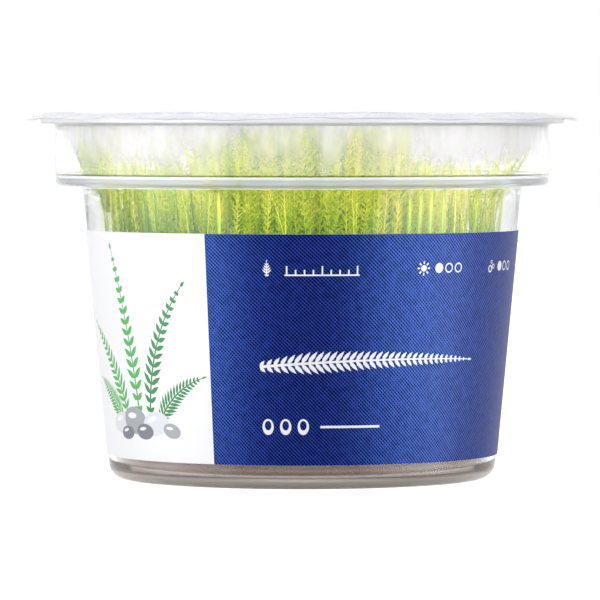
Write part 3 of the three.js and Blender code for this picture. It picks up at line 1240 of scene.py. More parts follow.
@dataclass
class Label:
    """The printed wrap, with a blue field, a white panel with a drawing, and plain marks."""

    cup: Cup
    gap: float = 0.08
    thickness: float = 0.2
    window: float = 52.0
    panel_from: float = -128.0
    panel_to: float = -25.8
    column: float = 1.5
    rows: int = 12
    screen_cell: float = 0.7
    radius: float = field(init=False)
    low: float = field(init=False)
    high: float = field(init=False)

    def __post_init__(self) -> None:
        """Takes the label's height from the frame."""
        low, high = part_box("label")
        self.low = low.z / MM
        self.high = high.z / MM
        self.radius = self.cup.outside((self.low + self.high) / 2) + self.gap + self.thickness

    @property
    def end(self) -> float:
        """Where the label ends at the window, in degrees from its front."""
        return 180 - self.window / 2

    def along(self, degrees: float) -> float:
        """Gives the place on the unrolled label of an angle from its front, in millimetres."""
        return math.radians(degrees) * self.radius

    def panel(self) -> list[Shape]:
        """Draws the blue field and the white panel.

        Returns:
            The shapes.
        """
        margin = 0.5
        low, high = self.low - margin, self.high + margin
        end = self.end + margin
        shapes = []
        for ink, start, stop in ((Ink.BLUE, -end, end), (Ink.WHITE, self.panel_from, self.panel_to)):
            left, right = self.along(start), self.along(stop)
            shapes.append(Shape(ink, [(left, low), (right, low), (right, high), (left, high)]))
        return shapes

    def drawing(self) -> list[Shape]:
        """Draws arched fern fronds that rise from a bed of round pebbles.

        Returns:
            The shapes.
        """
        middle = self.along(-52)
        shapes = []
        for offset, height, length, angle, curl in (
            (-4.5, 13, 22, 108, 42), (3.0, 14, 26, 84, -34), (-0.5, 14, 31, 95, 12),
            (5.5, 12, 14, 58, -40), (-6.5, 12, 13, 128, 34),
        ):
            ink = Ink.LEAF if offset < 0 else Ink.DARK_LEAF
            shapes += frond(ink, (middle + offset, height), length, angle, curl, 3.6, 15, 0.45)
        for offset, height, width, tall, tilt, ink in (
            (-7.6, 11.6, 3.4, 2.0, 8, Ink.PALE_GREY), (-2.2, 12.2, 3.8, 2.6, -6, Ink.GREY),
            (4.2, 11.8, 3.6, 2.3, 10, Ink.PALE_GREY), (8.6, 10.6, 2.2, 1.4, -12, Ink.GREY),
            (0.9, 10.2, 2.6, 1.5, 0, Ink.DARK_GREY), (-5.2, 9.8, 2.4, 1.3, 5, Ink.DARK_GREY),
        ):
            shapes.append(ellipse(ink, (middle + offset, height), (width, tall), tilt, 28))
            shine = (middle + offset - 0.25 * width, height + 0.35 * tall)
            shapes.append(ellipse(Ink.WHITE, shine, (0.4 * width, 0.22 * tall), tilt + 8, 14))
        return shapes

    def dots(self, start: Point, filled: int, count: int = 3, size: float = 0.95) -> list[Shape]:
        """Draws a row of rings, the first of them filled.

        Args:
            start: The middle of the first ring.
            filled: How many are filled.
            count: How many there are.
            size: Their radius.

        Returns:
            The shapes.
        """
        shapes = []
        for number in range(count):
            middle = (start[0] + number * size * 2.5, start[1])
            shapes.append(ellipse(Ink.WHITE, middle, (size, size)))
            if number >= filled:
                shapes.append(ellipse(Ink.BLUE, middle, (size * 0.72, size * 0.72)))
        return shapes

    def sun(self, middle: Point, size: float) -> list[Shape]:
        """Draws a small sun with rays.

        Args:
            middle: Its middle.
            size: The reach of its rays.

        Returns:
            The shapes.
        """
        shapes = [ellipse(Ink.WHITE, middle, (size * 0.45, size * 0.45))]
        for angle in range(0, 360, 45):
            turn = math.radians(angle)
            reach = [(middle[0] + size * k * math.cos(turn), middle[1] + size * k * math.sin(turn))
                     for k in (0.62, 1.0)]
            shapes.append(bar(Ink.WHITE, reach[0], reach[1], 0.2 * size))
        return shapes

    def bubbles(self, middle: Point, size: float) -> list[Shape]:
        """Draws three small bubbles.

        Args:
            middle: The middle of the group.
            size: Its reach.

        Returns:
            The shapes.
        """
        shapes = []
        for across, up, share in ((-0.35, -0.35, 0.55), (0.5, 0.0, 0.38), (-0.1, 0.65, 0.28)):
            place = (middle[0] + across * size, middle[1] + up * size)
            shapes.append(ellipse(Ink.WHITE, place, (share * size, share * size), 0, 16))
            shapes.append(ellipse(Ink.BLUE, place, (share * size * 0.6, share * size * 0.6), 0, 16))
        return shapes

    def marks(self) -> list[Shape]:
        """Draws the plain white marks: sprig, scale, ratings, a long frond and a rule.

        Returns:
            The shapes.
        """
        row_1, row_2, row_3 = 41.3, 24.3, 11.9
        shapes = []
        left = self.along(-11.5)
        for number in range(9):
            tall = 1.6 if number % 4 == 0 else 0.9
            place = left + 5.2 + number * 1.6
            shapes.append(bar(Ink.WHITE, (place, row_1 - 1.0), (place, row_1 - 1.0 + tall), 0.28))
        shapes.append(bar(Ink.WHITE, (left + 4.8, row_1 - 1.1), (left + 18.4, row_1 - 1.1), 0.28))
        shapes += frond(Ink.WHITE, (left + 1.6, row_1 - 1.3), 2.6, 90, 0, 1.3, 5, 0.22)
        shapes += self.sun((self.along(33.5), row_1), 1.35)
        shapes += self.dots((self.along(38.5), row_1), 1)
        shapes += self.bubbles((self.along(60.5), row_1), 1.3)
        shapes += self.dots((self.along(65.5), row_1), 1)
        length = self.along(52) - left
        shapes += frond(Ink.WHITE, (left, row_2 - 1.2), length, 5, -8, 3.3, 34, 0.5)
        for number in range(3):
            shapes.append(ellipse(Ink.WHITE, (left + 1.4 + 3.4 * number, row_3), (1.1, 1.5), 0, 24))
            shapes.append(ellipse(Ink.BLUE, (left + 1.4 + 3.4 * number, row_3 + 0.25), (0.65, 0.9)))
        shapes.append(bar(Ink.WHITE, (left + 11.5, row_3), (self.along(22), row_3), 0.45))
        return shapes

    def more_marks(self) -> list[Shape]:
        """Draws the plain marks of the sides that are turned away.

        Returns:
            The shapes.
        """
        shapes = []
        start = self.along(104)
        for number in range(6):
            height = 36.0 - number * 4.4
            width = (22.0, 17.0, 24.0, 14.0, 20.0, 9.0)[number]
            shapes.append(bar(Ink.WHITE, (start, height), (start + width, height), 0.5))
        start = self.along(-112)
        shapes += frond(Ink.GREY, (start, 12), 20, 90, -20, 3.0, 14, 0.35)
        shapes += frond(Ink.PALE_GREY, (start + 5, 12), 15, 80, -30, 2.6, 12, 0.35)
        for number in range(4):
            height = 39.0 - number * 2.4
            shapes.append(bar(Ink.GREY, (start - 6, height), (start + 12 - number, height), 0.4))
        return shapes

    def sheet(self) -> tuple[list[Point], list[tuple[int, ...]], list[int]]:
        """Cuts the unrolled label along its printed outlines and along a grid for its curve.

        Returns:
            Its points in millimetres, its faces, and each face's ink number.
        """
        shapes = self.panel() + self.drawing() + self.marks() + self.more_marks()
        left, right = self.along(-self.end), self.along(self.end)
        points: list[Vector] = []
        edges: list[tuple[int, int]] = []
        faces: list[list[int]] = []
        columns = round(2 * self.end / self.column)
        for number in range(columns + 1):
            u = left + (right - left) * number / columns
            edges.append((len(points), len(points) + 1))
            points += [Vector((u, self.low)), Vector((u, self.high))]
        for number in range(self.rows + 1):
            v = self.low + (self.high - self.low) * number / self.rows
            edges.append((len(points), len(points) + 1))
            points += [Vector((left, v)), Vector((right, v))]
        for shape in shapes:
            first = len(points)
            points += [Vector(p) for p in shape.outline]
            faces.append(list(range(first, len(points))))
        out_points, _, out_faces, _, _, sources = delaunay_2d_cdt(points, edges, faces, 0, 1e-6, True)
        kept, inks = [], []
        for face, source in zip(out_faces, sources):
            middle = sum((out_points[i] for i in face), Vector((0, 0))) / len(face)
            if left < middle.x < right and self.low < middle.y < self.high and source:
                kept.append(tuple(face))
                inks.append(shapes[max(source)].ink.value)
        return [tuple(p) for p in out_points], kept, inks

    def wrap(self, flat: np.ndarray) -> np.ndarray:
        """Rolls points of the flat label round the cup.

        Args:
            flat: Places along and up the unrolled label, in millimetres.

        Returns:
            Their places on the cup, in metres.
        """
        angle = flat[:, 0] / self.radius
        reach = self.cup.outside(flat[:, 1]) + self.gap + self.thickness
        return np.column_stack([reach * np.sin(angle), -reach * np.cos(angle), flat[:, 1]]) * MM

    def build(self) -> None:
        """Builds the label and dresses it."""
        points, faces, inks = self.sheet()
        flat = np.array(points)
        triangles = np.array(faces)
        used = np.unique(triangles)
        number = np.full(len(flat), -1)
        number[used] = np.arange(len(used))
        flat = flat[used]
        piece = mesh_from("label_wrap", self.wrap(flat), number[triangles])
        mesh = piece.data
        length = 2 * self.along(self.end)
        corner = np.empty(len(mesh.loops), np.int32)
        mesh.loops.foreach_get("vertex_index", corner)
        shares = np.column_stack([flat[:, 0] / length + 0.5, flat[:, 1] / self.high])
        mesh.uv_layers.new(name="print").data.foreach_set("uv", shares[corner].ravel())
        shell = piece.modifiers.new("thickness", "SOLIDIFY")
        shell.thickness = self.thickness * MM
        shell.offset = -1
        # Past the last material, Solidify gives the back and the edges the last one, Ink.PAPER.
        shell.material_offset = len(Ink)
        shell.material_offset_rim = len(Ink)
        cells = (length / self.screen_cell, self.high / self.screen_cell)
        dress(piece, [film.make() for film in self.inks(cells)], ["label"])
        mesh.polygons.foreach_set("material_index", np.array(inks, np.int32))
        select_only(piece)
        bpy.ops.object.modifier_apply(modifier=shell.name)
        smooth(piece, 40)

    def inks(self, cells: tuple[float, float]) -> list[PrintedFilm]:
        """Lists the printed colours, in the order of the inks' numbers.

        Args:
            cells: How many cells the printed screen has along and up the label.

        Returns:
            The finishes.
        """
        return [
            PrintedFilm(Ink.WHITE, srgb(215, 215, 217), srgb(212, 212, 215)),
            PrintedFilm(Ink.BLUE, (0.006, 0.018, 0.2), (0.0, 0.0, 0.007), 1.2, 0.7, cells,
                        (0.19, 0.41, 1.0)),
            PrintedFilm(Ink.PALE_GREY, srgb(206, 208, 212), srgb(184, 187, 192)),
            PrintedFilm(Ink.GREY, srgb(160, 163, 168), srgb(128, 131, 137)),
            PrintedFilm(Ink.DARK_GREY, srgb(120, 123, 130), srgb(92, 95, 102)),
            PrintedFilm(Ink.LEAF, srgb(92, 168, 92), srgb(62, 138, 74)),
            PrintedFilm(Ink.DARK_LEAF, srgb(58, 132, 74), srgb(34, 98, 58)),
            PrintedFilm(Ink.PAPER, srgb(246, 246, 247), srgb(238, 238, 240)),
        ]


# The moss


@dataclass(frozen=True)
class Habit:
    """How one kind of frond grows, in millimetres and degrees."""

    bend: float = 0.045
    branch_pitch: float = 0.44
    branch_length: float = 1.9
    branch_angle: float = 42.0
    branch_scatter: float = 11.0
    branch_half_width: float = 0.13
    taper_length: float = 8.0
    leaf_pitch: float = 0.42
    leaf_length: float = 0.75
    leaf_angle: float = 28.0
    leaf_scatter: float = 8.0
    leaf_half_width: float = 0.13
    leaf_thickness: float = 0.06
    stem_radius: float = 0.14
    stem_taper: float = 1.0
    stem_tone: float = 0.12
    stem_rings: int = 9
    stem_leaf_pitch: float = 0.5


@dataclass(frozen=True)
class StemCurve:
    """The bent middle line of a frond, as a curve with one control point."""

    root: np.ndarray
    control: np.ndarray
    tip: np.ndarray
    facing: np.ndarray

    def at(self, shares: np.ndarray) -> tuple[np.ndarray, np.ndarray, np.ndarray, np.ndarray]:
        """Reads the curve.

        Args:
            shares: Shares of its length, from 0 at the root to 1 at the tip.

        Returns:
            The place, heading, side and face of the stem at each share.
        """
        s = shares[:, None]
        place = (1 - s) ** 2 * self.root + 2 * (1 - s) * s * self.control + s**2 * self.tip
        heading = unit(2 * (1 - s) * (self.control - self.root) + 2 * s * (self.tip - self.control))
        side = unit(np.cross(self.facing, heading))
        return place, heading, side, np.cross(heading, side)


class Growth:
    """Closed spikes and stems, gathered as arrays and joined into one mesh.

    A spike's points are the two ends of its foot, the point that stands out between them, and
    its tip.
    """

    SPIKE_FACES = np.array([[0, 2, 1], [0, 1, 3], [1, 2, 3], [2, 0, 3]])
    # Painted shade: each spike's foot is darker and its tip lighter.
    SPIKE_SHADE_TONES = np.array([-0.06, -0.06, 0.0, 0.2])

    def __init__(self) -> None:
        """Starts with nothing."""
        self.points: list[np.ndarray] = []
        self.faces: list[np.ndarray] = []
        self.tones: list[np.ndarray] = []
        self.count = 0

    def add(self, points: np.ndarray, faces: np.ndarray, tones: np.ndarray) -> None:
        """Adds points in millimetres with their triangles and tones.

        Args:
            points: One row for each point.
            faces: One row for each triangle, counted from the first of these points.
            tones: One tone from 0 to 1 for each point.
        """
        self.points.append(points)
        self.faces.append(faces + self.count)
        self.tones.append(tones)
        self.count += len(points)

    def spikes(self, foot: np.ndarray, tip: np.ndarray, across: np.ndarray, half_width: float,
               thickness: float, tones: np.ndarray) -> None:
        """Adds one four-sided pointed spike for each row.

        Args:
            foot: The middles of the feet.
            tip: The tips.
            across: The directions of the feet's widths.
            half_width: Half a foot's width.
            thickness: A foot's thickness.
            tones: One tone for each spike.
        """
        side = unit(across)
        proud = unit(np.cross(tip - foot, side))
        corners = np.stack([foot + side * half_width, foot - side * half_width,
                            foot + proud * thickness, tip], axis=1)
        lean = np.cross(corners[:, 1] - corners[:, 0], corners[:, 2] - corners[:, 0])
        inward = np.einsum("ij,ij->i", lean, corners[:, 3] - corners[:, 0]) < 0
        corners[inward] = corners[inward][:, [1, 0, 2, 3]]
        starts = np.arange(len(foot)) * 4
        faces = (starts[:, None, None] + self.SPIKE_FACES[None]).reshape(-1, 3)
        self.add(corners.reshape(-1, 3), faces, (tones[:, None] + self.SPIKE_SHADE_TONES[None]).ravel())

    def stem(self, centres: np.ndarray, side: np.ndarray, face: np.ndarray, radii: np.ndarray,
             tones: np.ndarray) -> None:
        """Adds a three-sided closed stem.

        Args:
            centres: Points along its middle.
            side: A direction across it at each point.
            face: The other direction across it at each point.
            radii: Its radius at each point.
            tones: Its tone at each point.
        """
        turns = np.radians([0.0, 120.0, 240.0])
        spread = side[:, None] * np.cos(turns)[None, :, None]
        spread = spread + face[:, None] * np.sin(turns)[None, :, None]
        points = centres[:, None] + spread * radii[:, None, None]
        faces = [(0, 2, 1)]
        for ring in range(len(centres) - 1):
            for k in range(3):
                a, b = ring * 3 + k, ring * 3 + (k + 1) % 3
                faces += [(a, b, b + 3), (a, b + 3, a + 3)]
        last = (len(centres) - 1) * 3
        faces.append((last, last + 1, last + 2))
        self.add(points.reshape(-1, 3), np.array(faces), np.repeat(tones, 3))

    def frond(self, root: np.ndarray, tip: np.ndarray, facing: np.ndarray, habit: Habit,
              tone: float, rng: np.random.Generator) -> None:
        """Grows one frond: a bent stem, two rows of side branches, and small leaves on both.

        Args:
            root: Where it starts.
            tip: Where it ends.
            facing: The direction that its flat side faces.
            habit: How it grows.
            tone: Its own tone.
            rng: The source of random numbers.
        """
        length = float(np.linalg.norm(tip - root))
        control = (root + tip) / 2 + rng.normal(0, habit.bend * length, 3) * (1, 1, 0.2)
        curve = StemCurve(root, control, tip, facing)
        rings = np.linspace(0, 1, habit.stem_rings)
        place, _, side, face = curve.at(rings)
        self.stem(place, side, face, habit.stem_radius * (1.05 - 0.8 * rings**habit.stem_taper),
                  tone + habit.stem_tone - 0.1 * rings)
        count = max(6, int(0.93 * length / habit.branch_pitch))
        shares = np.linspace(0.05, 0.985, count) + rng.uniform(-0.3, 0.3, count) / count
        shares = np.clip(shares, 0.0, 0.99)
        place, heading, side, face = curve.at(shares)
        sign = np.where(np.arange(count) % 2 == 0, 1.0, -1.0)
        spread = np.radians(habit.branch_angle + rng.normal(0, habit.branch_scatter, count))[:, None]
        lift = rng.normal(0, 0.35, count)[:, None]
        outward = unit(side * sign[:, None] * np.cos(lift) + face * np.sin(lift))
        run = unit(heading * np.cos(spread) + outward * np.sin(spread))
        to_tip = (1 - shares) * length
        size = np.minimum(1.0, (to_tip + 0.8) / habit.taper_length) ** 0.75
        size = size * habit.branch_length * rng.uniform(0.65, 1.15, count)
        tips = place + run * size[:, None]
        normal = unit(np.cross(run, np.cross(face, run)))
        self.spikes(place, tips, np.cross(normal, run), habit.branch_half_width,
                    habit.leaf_thickness, tone + 0.1 + rng.normal(0, 0.09, count))
        self.branch_leaves(place, run, size, normal, habit, tone, rng)
        self.stem_leaves(curve, length, habit, tone, rng)

    def branch_leaves(self, place: np.ndarray, run: np.ndarray, size: np.ndarray,
                      normal: np.ndarray, habit: Habit, tone: float,
                      rng: np.random.Generator) -> None:
        """Adds the leaves along both sides of the side branches.

        Args:
            place: Where the branches start.
            run: Their directions.
            size: Their lengths.
            normal: The directions that their flat sides face.
            habit: How the frond grows.
            tone: The frond's own tone.
            rng: The source of random numbers.
        """
        most = int(size.max() / habit.leaf_pitch) + 1
        steps = (np.arange(most) + 0.55) * habit.leaf_pitch
        branch, step = np.nonzero(steps[None, :] < size[:, None] * 0.96)
        count = len(branch)
        along = steps[step]
        foot = place[branch] + run[branch] * along[:, None]
        sign = np.where((step + branch) % 2 == 0, 1.0, -1.0)
        across = np.cross(normal[branch], run[branch])
        tilt = rng.normal(0, 0.45, count)[:, None]
        outward = unit(across * sign[:, None] * np.cos(tilt) + normal[branch] * np.sin(tilt))
        spread = np.radians(habit.leaf_angle + rng.normal(0, habit.leaf_scatter, count))[:, None]
        heading = run[branch] * np.cos(spread) + outward * np.sin(spread)
        reach = habit.leaf_length * (1 - 0.4 * along / size[branch]) * rng.uniform(0.75, 1.2, count)
        shade = rng.normal(0, 0.07, len(size))[branch]
        # Painted shade: leaves are darker near the branch's foot and lighter towards its tip.
        tones = tone - 0.06 + 0.2 * along / size[branch] + shade + rng.normal(0, 0.08, count)
        self.spikes(foot, foot + heading * reach[:, None], run[branch], habit.leaf_half_width,
                    habit.leaf_thickness, tones)

    def stem_leaves(self, curve: StemCurve, length: float, habit: Habit, tone: float,
                    rng: np.random.Generator) -> None:
        """Adds the leaves that grow round the stem itself.

        Args:
            curve: The stem's middle line.
            length: The stem's length.
            habit: How the frond grows.
            tone: The frond's own tone.
            rng: The source of random numbers.
        """
        count = max(4, int(length / habit.stem_leaf_pitch))
        place, heading, side, face = curve.at(np.linspace(0.02, 1.0, count))
        turn = rng.uniform(0, 2 * math.pi, count)[:, None]
        outward = side * np.cos(turn) + face * np.sin(turn)
        lean = np.radians(rng.uniform(22, 42, count))[:, None]
        run = unit(heading * np.cos(lean) + outward * np.sin(lean))
        reach = habit.leaf_length * rng.uniform(0.9, 1.35, count)
        self.spikes(place, place + run * reach[:, None], heading, habit.leaf_half_width,
                    habit.leaf_thickness, tone + 0.04 + rng.normal(0, 0.09, count))


class Kind(Enum):
    """The kinds of frond that grow in the cup, each with its habit."""

    WALL_FROND = Habit()
    MIDDLE_FROND = Habit(leaf_pitch=0.6, branch_pitch=0.9, branch_length=3.0)
    STRAND = Habit(branch_pitch=0.6, branch_length=1.5, branch_angle=18.0, leaf_angle=18.0,
                   leaf_half_width=0.17)
    GOLDEN_FROND = Habit(branch_pitch=0.8, stem_radius=0.24, stem_tone=0.36)
    LEDGE_FROND = Habit(branch_length=2.4, taper_length=6.0)
    BLADE = Habit(branch_pitch=0.28, branch_length=1.15, branch_angle=16.0, leaf_angle=14.0,
                  branch_half_width=0.34, leaf_half_width=0.24, taper_length=5.0, stem_radius=0.62,
                  stem_taper=4.0, stem_tone=0.06)
    REED = Habit(branch_pitch=0.5, branch_length=1.2, branch_angle=15.0, leaf_angle=15.0,
                 stem_radius=0.34, stem_taper=3.0, stem_tone=0.0)
    GOLDEN_STEM = Habit(branch_pitch=1.3, branch_length=2.4, stem_radius=0.24, stem_tone=0.3)
    SPRIG = Habit(branch_pitch=0.6, branch_length=1.5, taper_length=5.0)


# A front shoot's tone, foot x, foot z, tip x, tip z and distance from the axis, in millimetres.
Row = tuple[float, float, float, float, float, float]


@dataclass
class Moss:
    """The stand of moss: a dense tangle below, and feathery fronds up to ragged tips."""

    cup: Cup
    seed: int = 5
    spacing: float = 2.15
    inner_spacing: float = 4.0
    wall_zone: float = 25.75
    edge_zone: float = 34.0
    bed_edge: float = 39.6
    reach_limit: float = 45.4
    tip_limit: float = 69.3
    film_limit: float = 69.75
    tangle_top: float = 43.5
    crown_root: float = 41.0
    crown: tuple[Point, ...] = (
        (-41, 64.0), (-38, 63.5), (-36.5, 60.5), (-30, 60.0), (-26, 59.0), (-20.5, 58.5),
        (-19.0, 62.5), (-17, 64.5), (-15, 63.5), (-10, 65.0), (-8, 67.0), (0, 67.5), (2.0, 66.5),
        (3.0, 61.5), (5.0, 61.5), (6.0, 67.5), (17, 67.5), (18.5, 60.5), (22, 59.0), (27, 58.5),
        (30, 59.5), (33, 58.0), (37, 61.0), (41, 59.5),
    )
    ragged: float = 1.1
    strand_share: float = 0.75
    strand_span: Point = (18.0, 27.0)
    golden_from: float = 0.96
    right_light_tone: float = 0.2
    right_light_span: Point = (12.0, 24.0)
    low_shade_tone: float = -0.27
    top_light_tone: float = 0.38
    shade_rise_heights: Point = (46.0, 56.0)
    window_fronds: int = 21
    window_span: float = 72.0
    window_rises: tuple[float, ...] = (0.3, 9.0, 18.0)
    window_reaches: Point = (34.0, 36.0)
    window_length: float = 16.0
    wall_gap: float = 1.6
    sectors: int = 8
    press_depth: float = 1.5
    ledge_feet: Point = (36.5, 38.5)
    ledge_heights: Point = (52.0, 55.0)
    ledge_tips: Point = (41.5, 44.8)
    ledge_tufts: tuple[tuple[float, float, int, float], ...] = (
        (158, 204, 30, 64.0), (-34, -20, 3, 60.5), (-12, 8, 4, 62.0), (240, 262, 5, 61.0),
        (20, 70, 9, 60.5), (80, 140, 18, 63.0), (272, 300, 4, 60.5),
    )
    front_shoots: tuple[tuple[Kind, tuple[Row, ...]], ...] = (
        (Kind.BLADE, (
            (0.5, -16.4, 44.0, -16.2, 57.6, 41.0),
            (0.48, 20.8, 44.0, 21.0, 54.6, 41.2),
            (0.46, 23.2, 44.0, 23.4, 57.0, 41.2),
            (0.56, 25.2, 44.0, 25.2, 56.4, 41.0),
            (0.5, 27.6, 44.0, 27.5, 57.0, 41.2),
            (0.44, 34.4, 44.0, 34.9, 57.0, 41.2),
        )),
        (Kind.REED, (
            (0.1, -28.4, 44.0, -28.6, 56.8, 41.0),
            (0.16, -33.0, 44.0, -33.4, 57.0, 41.0),
            (0.06, -31.0, 44.0, -31.2, 57.0, 41.2),
            (0.2, -35.4, 44.0, -36.0, 57.2, 41.0),
        )),
        (Kind.GOLDEN_STEM, (
            (0.42, -3.0, 44.0, -6.4, 55.8, 41.4),
            (0.4, -3.2, 46.5, -3.6, 56.4, 41.4),
            (0.4, -22.6, 44.0, -23.4, 55.4, 41.2),
            (0.42, 10.4, 44.0, 9.6, 56.8, 41.2),
        )),
        (Kind.SPRIG, (
            (0.34, -16.8, 55.0, -16.2, 64.6, 42.2),
            (0.3, 17.6, 54.5, 18.4, 63.2, 42.0),
            (0.26, 27.4, 54.5, 28.4, 61.6, 42.0),
            (0.3, 35.4, 54.5, 37.4, 62.6, 43.6),
            (0.28, 34.6, 54.0, 35.6, 60.6, 42.6),
            (0.28, 23.6, 55.0, 24.4, 60.6, 42.0),
            (0.4, -33.0, 55.5, -34.6, 66.8, 43.0),
            (0.4, -36.0, 55.5, -35.8, 66.0, 43.4),
            (0.36, -28.0, 55.0, -31.6, 64.8, 42.6),
            (0.36, -16.0, 57.0, -24.0, 66.4, 42.8),
        )),
    )
    frond_stops: tuple[tuple[float, Colour], ...] = (
        (0.0, srgb(88, 144, 42)),
        (0.3, srgb(152, 193, 42)),
        (0.6, srgb(214, 224, 54)),
        (1.0, srgb(250, 240, 118)),
    )
    # A darker copy of the moss colours: painted shade for the dense growth under the fronds.
    tangle_shade_stops: tuple[tuple[float, Colour], ...] = (
        (0.0, srgb(38, 66, 20)),
        (0.35, srgb(62, 98, 28)),
        (0.7, srgb(104, 140, 40)),
        (1.0, srgb(150, 172, 60)),
    )

    def wall_limit(self, height: np.ndarray) -> np.ndarray:
        """Gives how far from the axis moss may reach at a height, in millimetres."""
        return np.minimum(self.cup.inside(height) - self.wall_gap, self.reach_limit)

    def tip_height(self, x: float, y: float, rng: np.random.Generator) -> float:
        """Gives the height of a frond's tip over a place.

        Args:
            x: Its place from left to right, in millimetres.
            y: Its place from front to back, in millimetres.
            rng: The source of random numbers.

        Returns:
            The height in millimetres.
        """
        across, heights = zip(*self.crown)
        height = float(np.interp(x + 0.06 * y, across, heights))
        clumps = math.sin(0.33 * x + 1.0) * math.sin(0.29 * y + 0.4)
        low = 2.2 * ease(30.0, 40.0, math.hypot(x, y)) + 1.4 * max(0.0, clumps)
        return min(self.tip_limit, height + 0.4 - low * rng.random() + rng.normal(0, self.ragged))

    def beds(self) -> list[tuple[float, float, float]]:
        """Lists the rings of fronds.

        Returns:
            The radius, spacing and spread of each ring, in millimetres.
        """
        rings = []
        reach = 3.0
        while reach < self.bed_edge:
            pitch = self.spacing if reach > self.wall_zone else self.inner_spacing
            rings.append((reach, pitch, 0.35 * pitch))
            reach += pitch * 0.9
        return rings

    def bed_of(self, x: float, y: float) -> str:
        """Names the piece that a place belongs to: a part of the wall zone or of the middle.

        Args:
            x: Its place from left to right, in millimetres.
            y: Its place from front to back, in millimetres.

        Returns:
            The piece's name.
        """
        turn = math.degrees(math.atan2(y, x)) % 360
        if math.hypot(x, y) > self.wall_zone:
            return f"moss_wall_{int(turn // (360 / self.sectors)) + 1}"
        return "moss_middle_left" if x < 0 else "moss_middle_right"

    def growth_at(self, growths: dict[str, Growth], place: np.ndarray) -> Growth:
        """Gives the growth of the piece that a place belongs to."""
        return growths.setdefault(self.bed_of(place[0], place[1]), Growth())

    def press(self, points: np.ndarray) -> np.ndarray:
        """Presses points softly against the inside of the cup.

        Args:
            points: Places in millimetres.

        Returns:
            The places, none of them outside the wall or above the film.
        """
        points = points.copy()
        points[:, 2] = np.minimum(points[:, 2], self.film_limit)
        reach = np.hypot(points[:, 0], points[:, 1])
        start = self.wall_limit(points[:, 2]) - self.press_depth
        over = np.maximum(reach - start, 0)
        pressed = start + self.press_depth * (1 - np.exp(-over / self.press_depth))
        scale = np.where(over > 0, pressed / np.maximum(reach, 1e-6), 1.0)
        points[:, :2] *= scale[:, None]
        return points

    def grow(self) -> dict[str, Growth]:
        """Grows all fronds.

        Returns:
            The growths, by the piece that they belong to.
        """
        rng = np.random.default_rng(self.seed)
        growths: dict[str, Growth] = {}
        for reach, pitch, spread in self.beds():
            count = round(2 * math.pi * reach / pitch)
            for number in range(count):
                turn = 2 * math.pi * (number + rng.uniform(-0.3, 0.3)) / count + reach
                away = reach + rng.uniform(-spread, spread)
                self.grow_one(growths, reach, away, turn, rng)
        self.grow_ledge(growths, rng)
        self.grow_window(growths, rng)
        for kind, rows in self.front_shoots:
            self.grow_front(growths, kind, rows, rng)
        return growths

    def grow_one(self, growths: dict[str, Growth], reach: float, away: float, turn: float,
                 rng: np.random.Generator) -> None:
        """Grows one frond of the stand.

        Args:
            growths: The growths by piece.
            reach: The radius of its ring, in millimetres.
            away: Its own distance from the axis, in millimetres.
            turn: Its angle round the axis, in radians.
            rng: The source of random numbers.
        """
        outward = level(turn)
        root = outward * away
        x, y = float(root[0]), float(root[1])
        tip_z = self.tip_height(x, y, rng)
        root[2] = self.crown_root + rng.uniform(-1.5, 2.5)
        rise = tip_z - root[2]
        slope = (self.cup.top_radius - self.cup.base_radius) / self.cup.shoulder
        tip = root + outward * rise * slope * away / 40 + np.array([*rng.normal(0, 1.5, 2), rise])
        facing = level(turn + rng.normal(0, 0.35))
        clump_and_right_light = 0.1 * math.sin(0.42 * x + 2.0) * math.sin(0.37 * y + 1.0)
        # Painted light: fronds towards the right, where the right lights fall, are lighter.
        clump_and_right_light += self.right_light_tone * float(ease(*self.right_light_span, x))
        # Painted shade: fronds deeper inside the stand, away from the wall, are darker.
        depth = float(ease(39.0, 31.0, reach))
        tone = float(np.clip(rng.normal(0.48 + clump_and_right_light - 0.2 * depth, 0.16), 0.02, 0.85))
        kind = self.kind_at(reach, x, rng.random())
        self.growth_at(growths, root).frond(root, tip, facing, kind.value, tone, rng)

    def kind_at(self, reach: float, x: float, pick: float) -> Kind:
        """Chooses a frond's kind: fuller at the wall, and plain strands towards both sides.

        Args:
            reach: The radius of its ring, in millimetres.
            x: Its place from left to right, in millimetres.
            pick: A random number from 0 to 1.

        Returns:
            The kind.
        """
        if reach > self.edge_zone and pick < self.strand_share * ease(*self.strand_span, abs(x)):
            return Kind.STRAND
        if reach > self.edge_zone and pick > self.golden_from:
            return Kind.GOLDEN_FROND
        return Kind.WALL_FROND if reach > self.wall_zone else Kind.MIDDLE_FROND

    def grow_front(self, growths: dict[str, Growth], kind: Kind, rows: Sequence[Row],
                   rng: np.random.Generator) -> None:
        """Grows single shoots of one kind that stand at the front wall.

        Args:
            growths: The growths by piece.
            kind: Their kind.
            rows: The tone, foot x, foot z, tip x, tip z and distance from the axis of each.
            rng: The source of random numbers.
        """
        for tone, foot_x, foot_z, tip_x, tip_z, away in rows:
            root = np.array([foot_x, -math.sqrt(max(1.0, away**2 - foot_x**2)), foot_z])
            tip = np.array([tip_x, -math.sqrt(max(1.0, away**2 - tip_x**2)), tip_z])
            facing = level(math.atan2(root[1], root[0]))
            self.growth_at(growths, root).frond(root, tip, facing, kind.value, tone, rng)

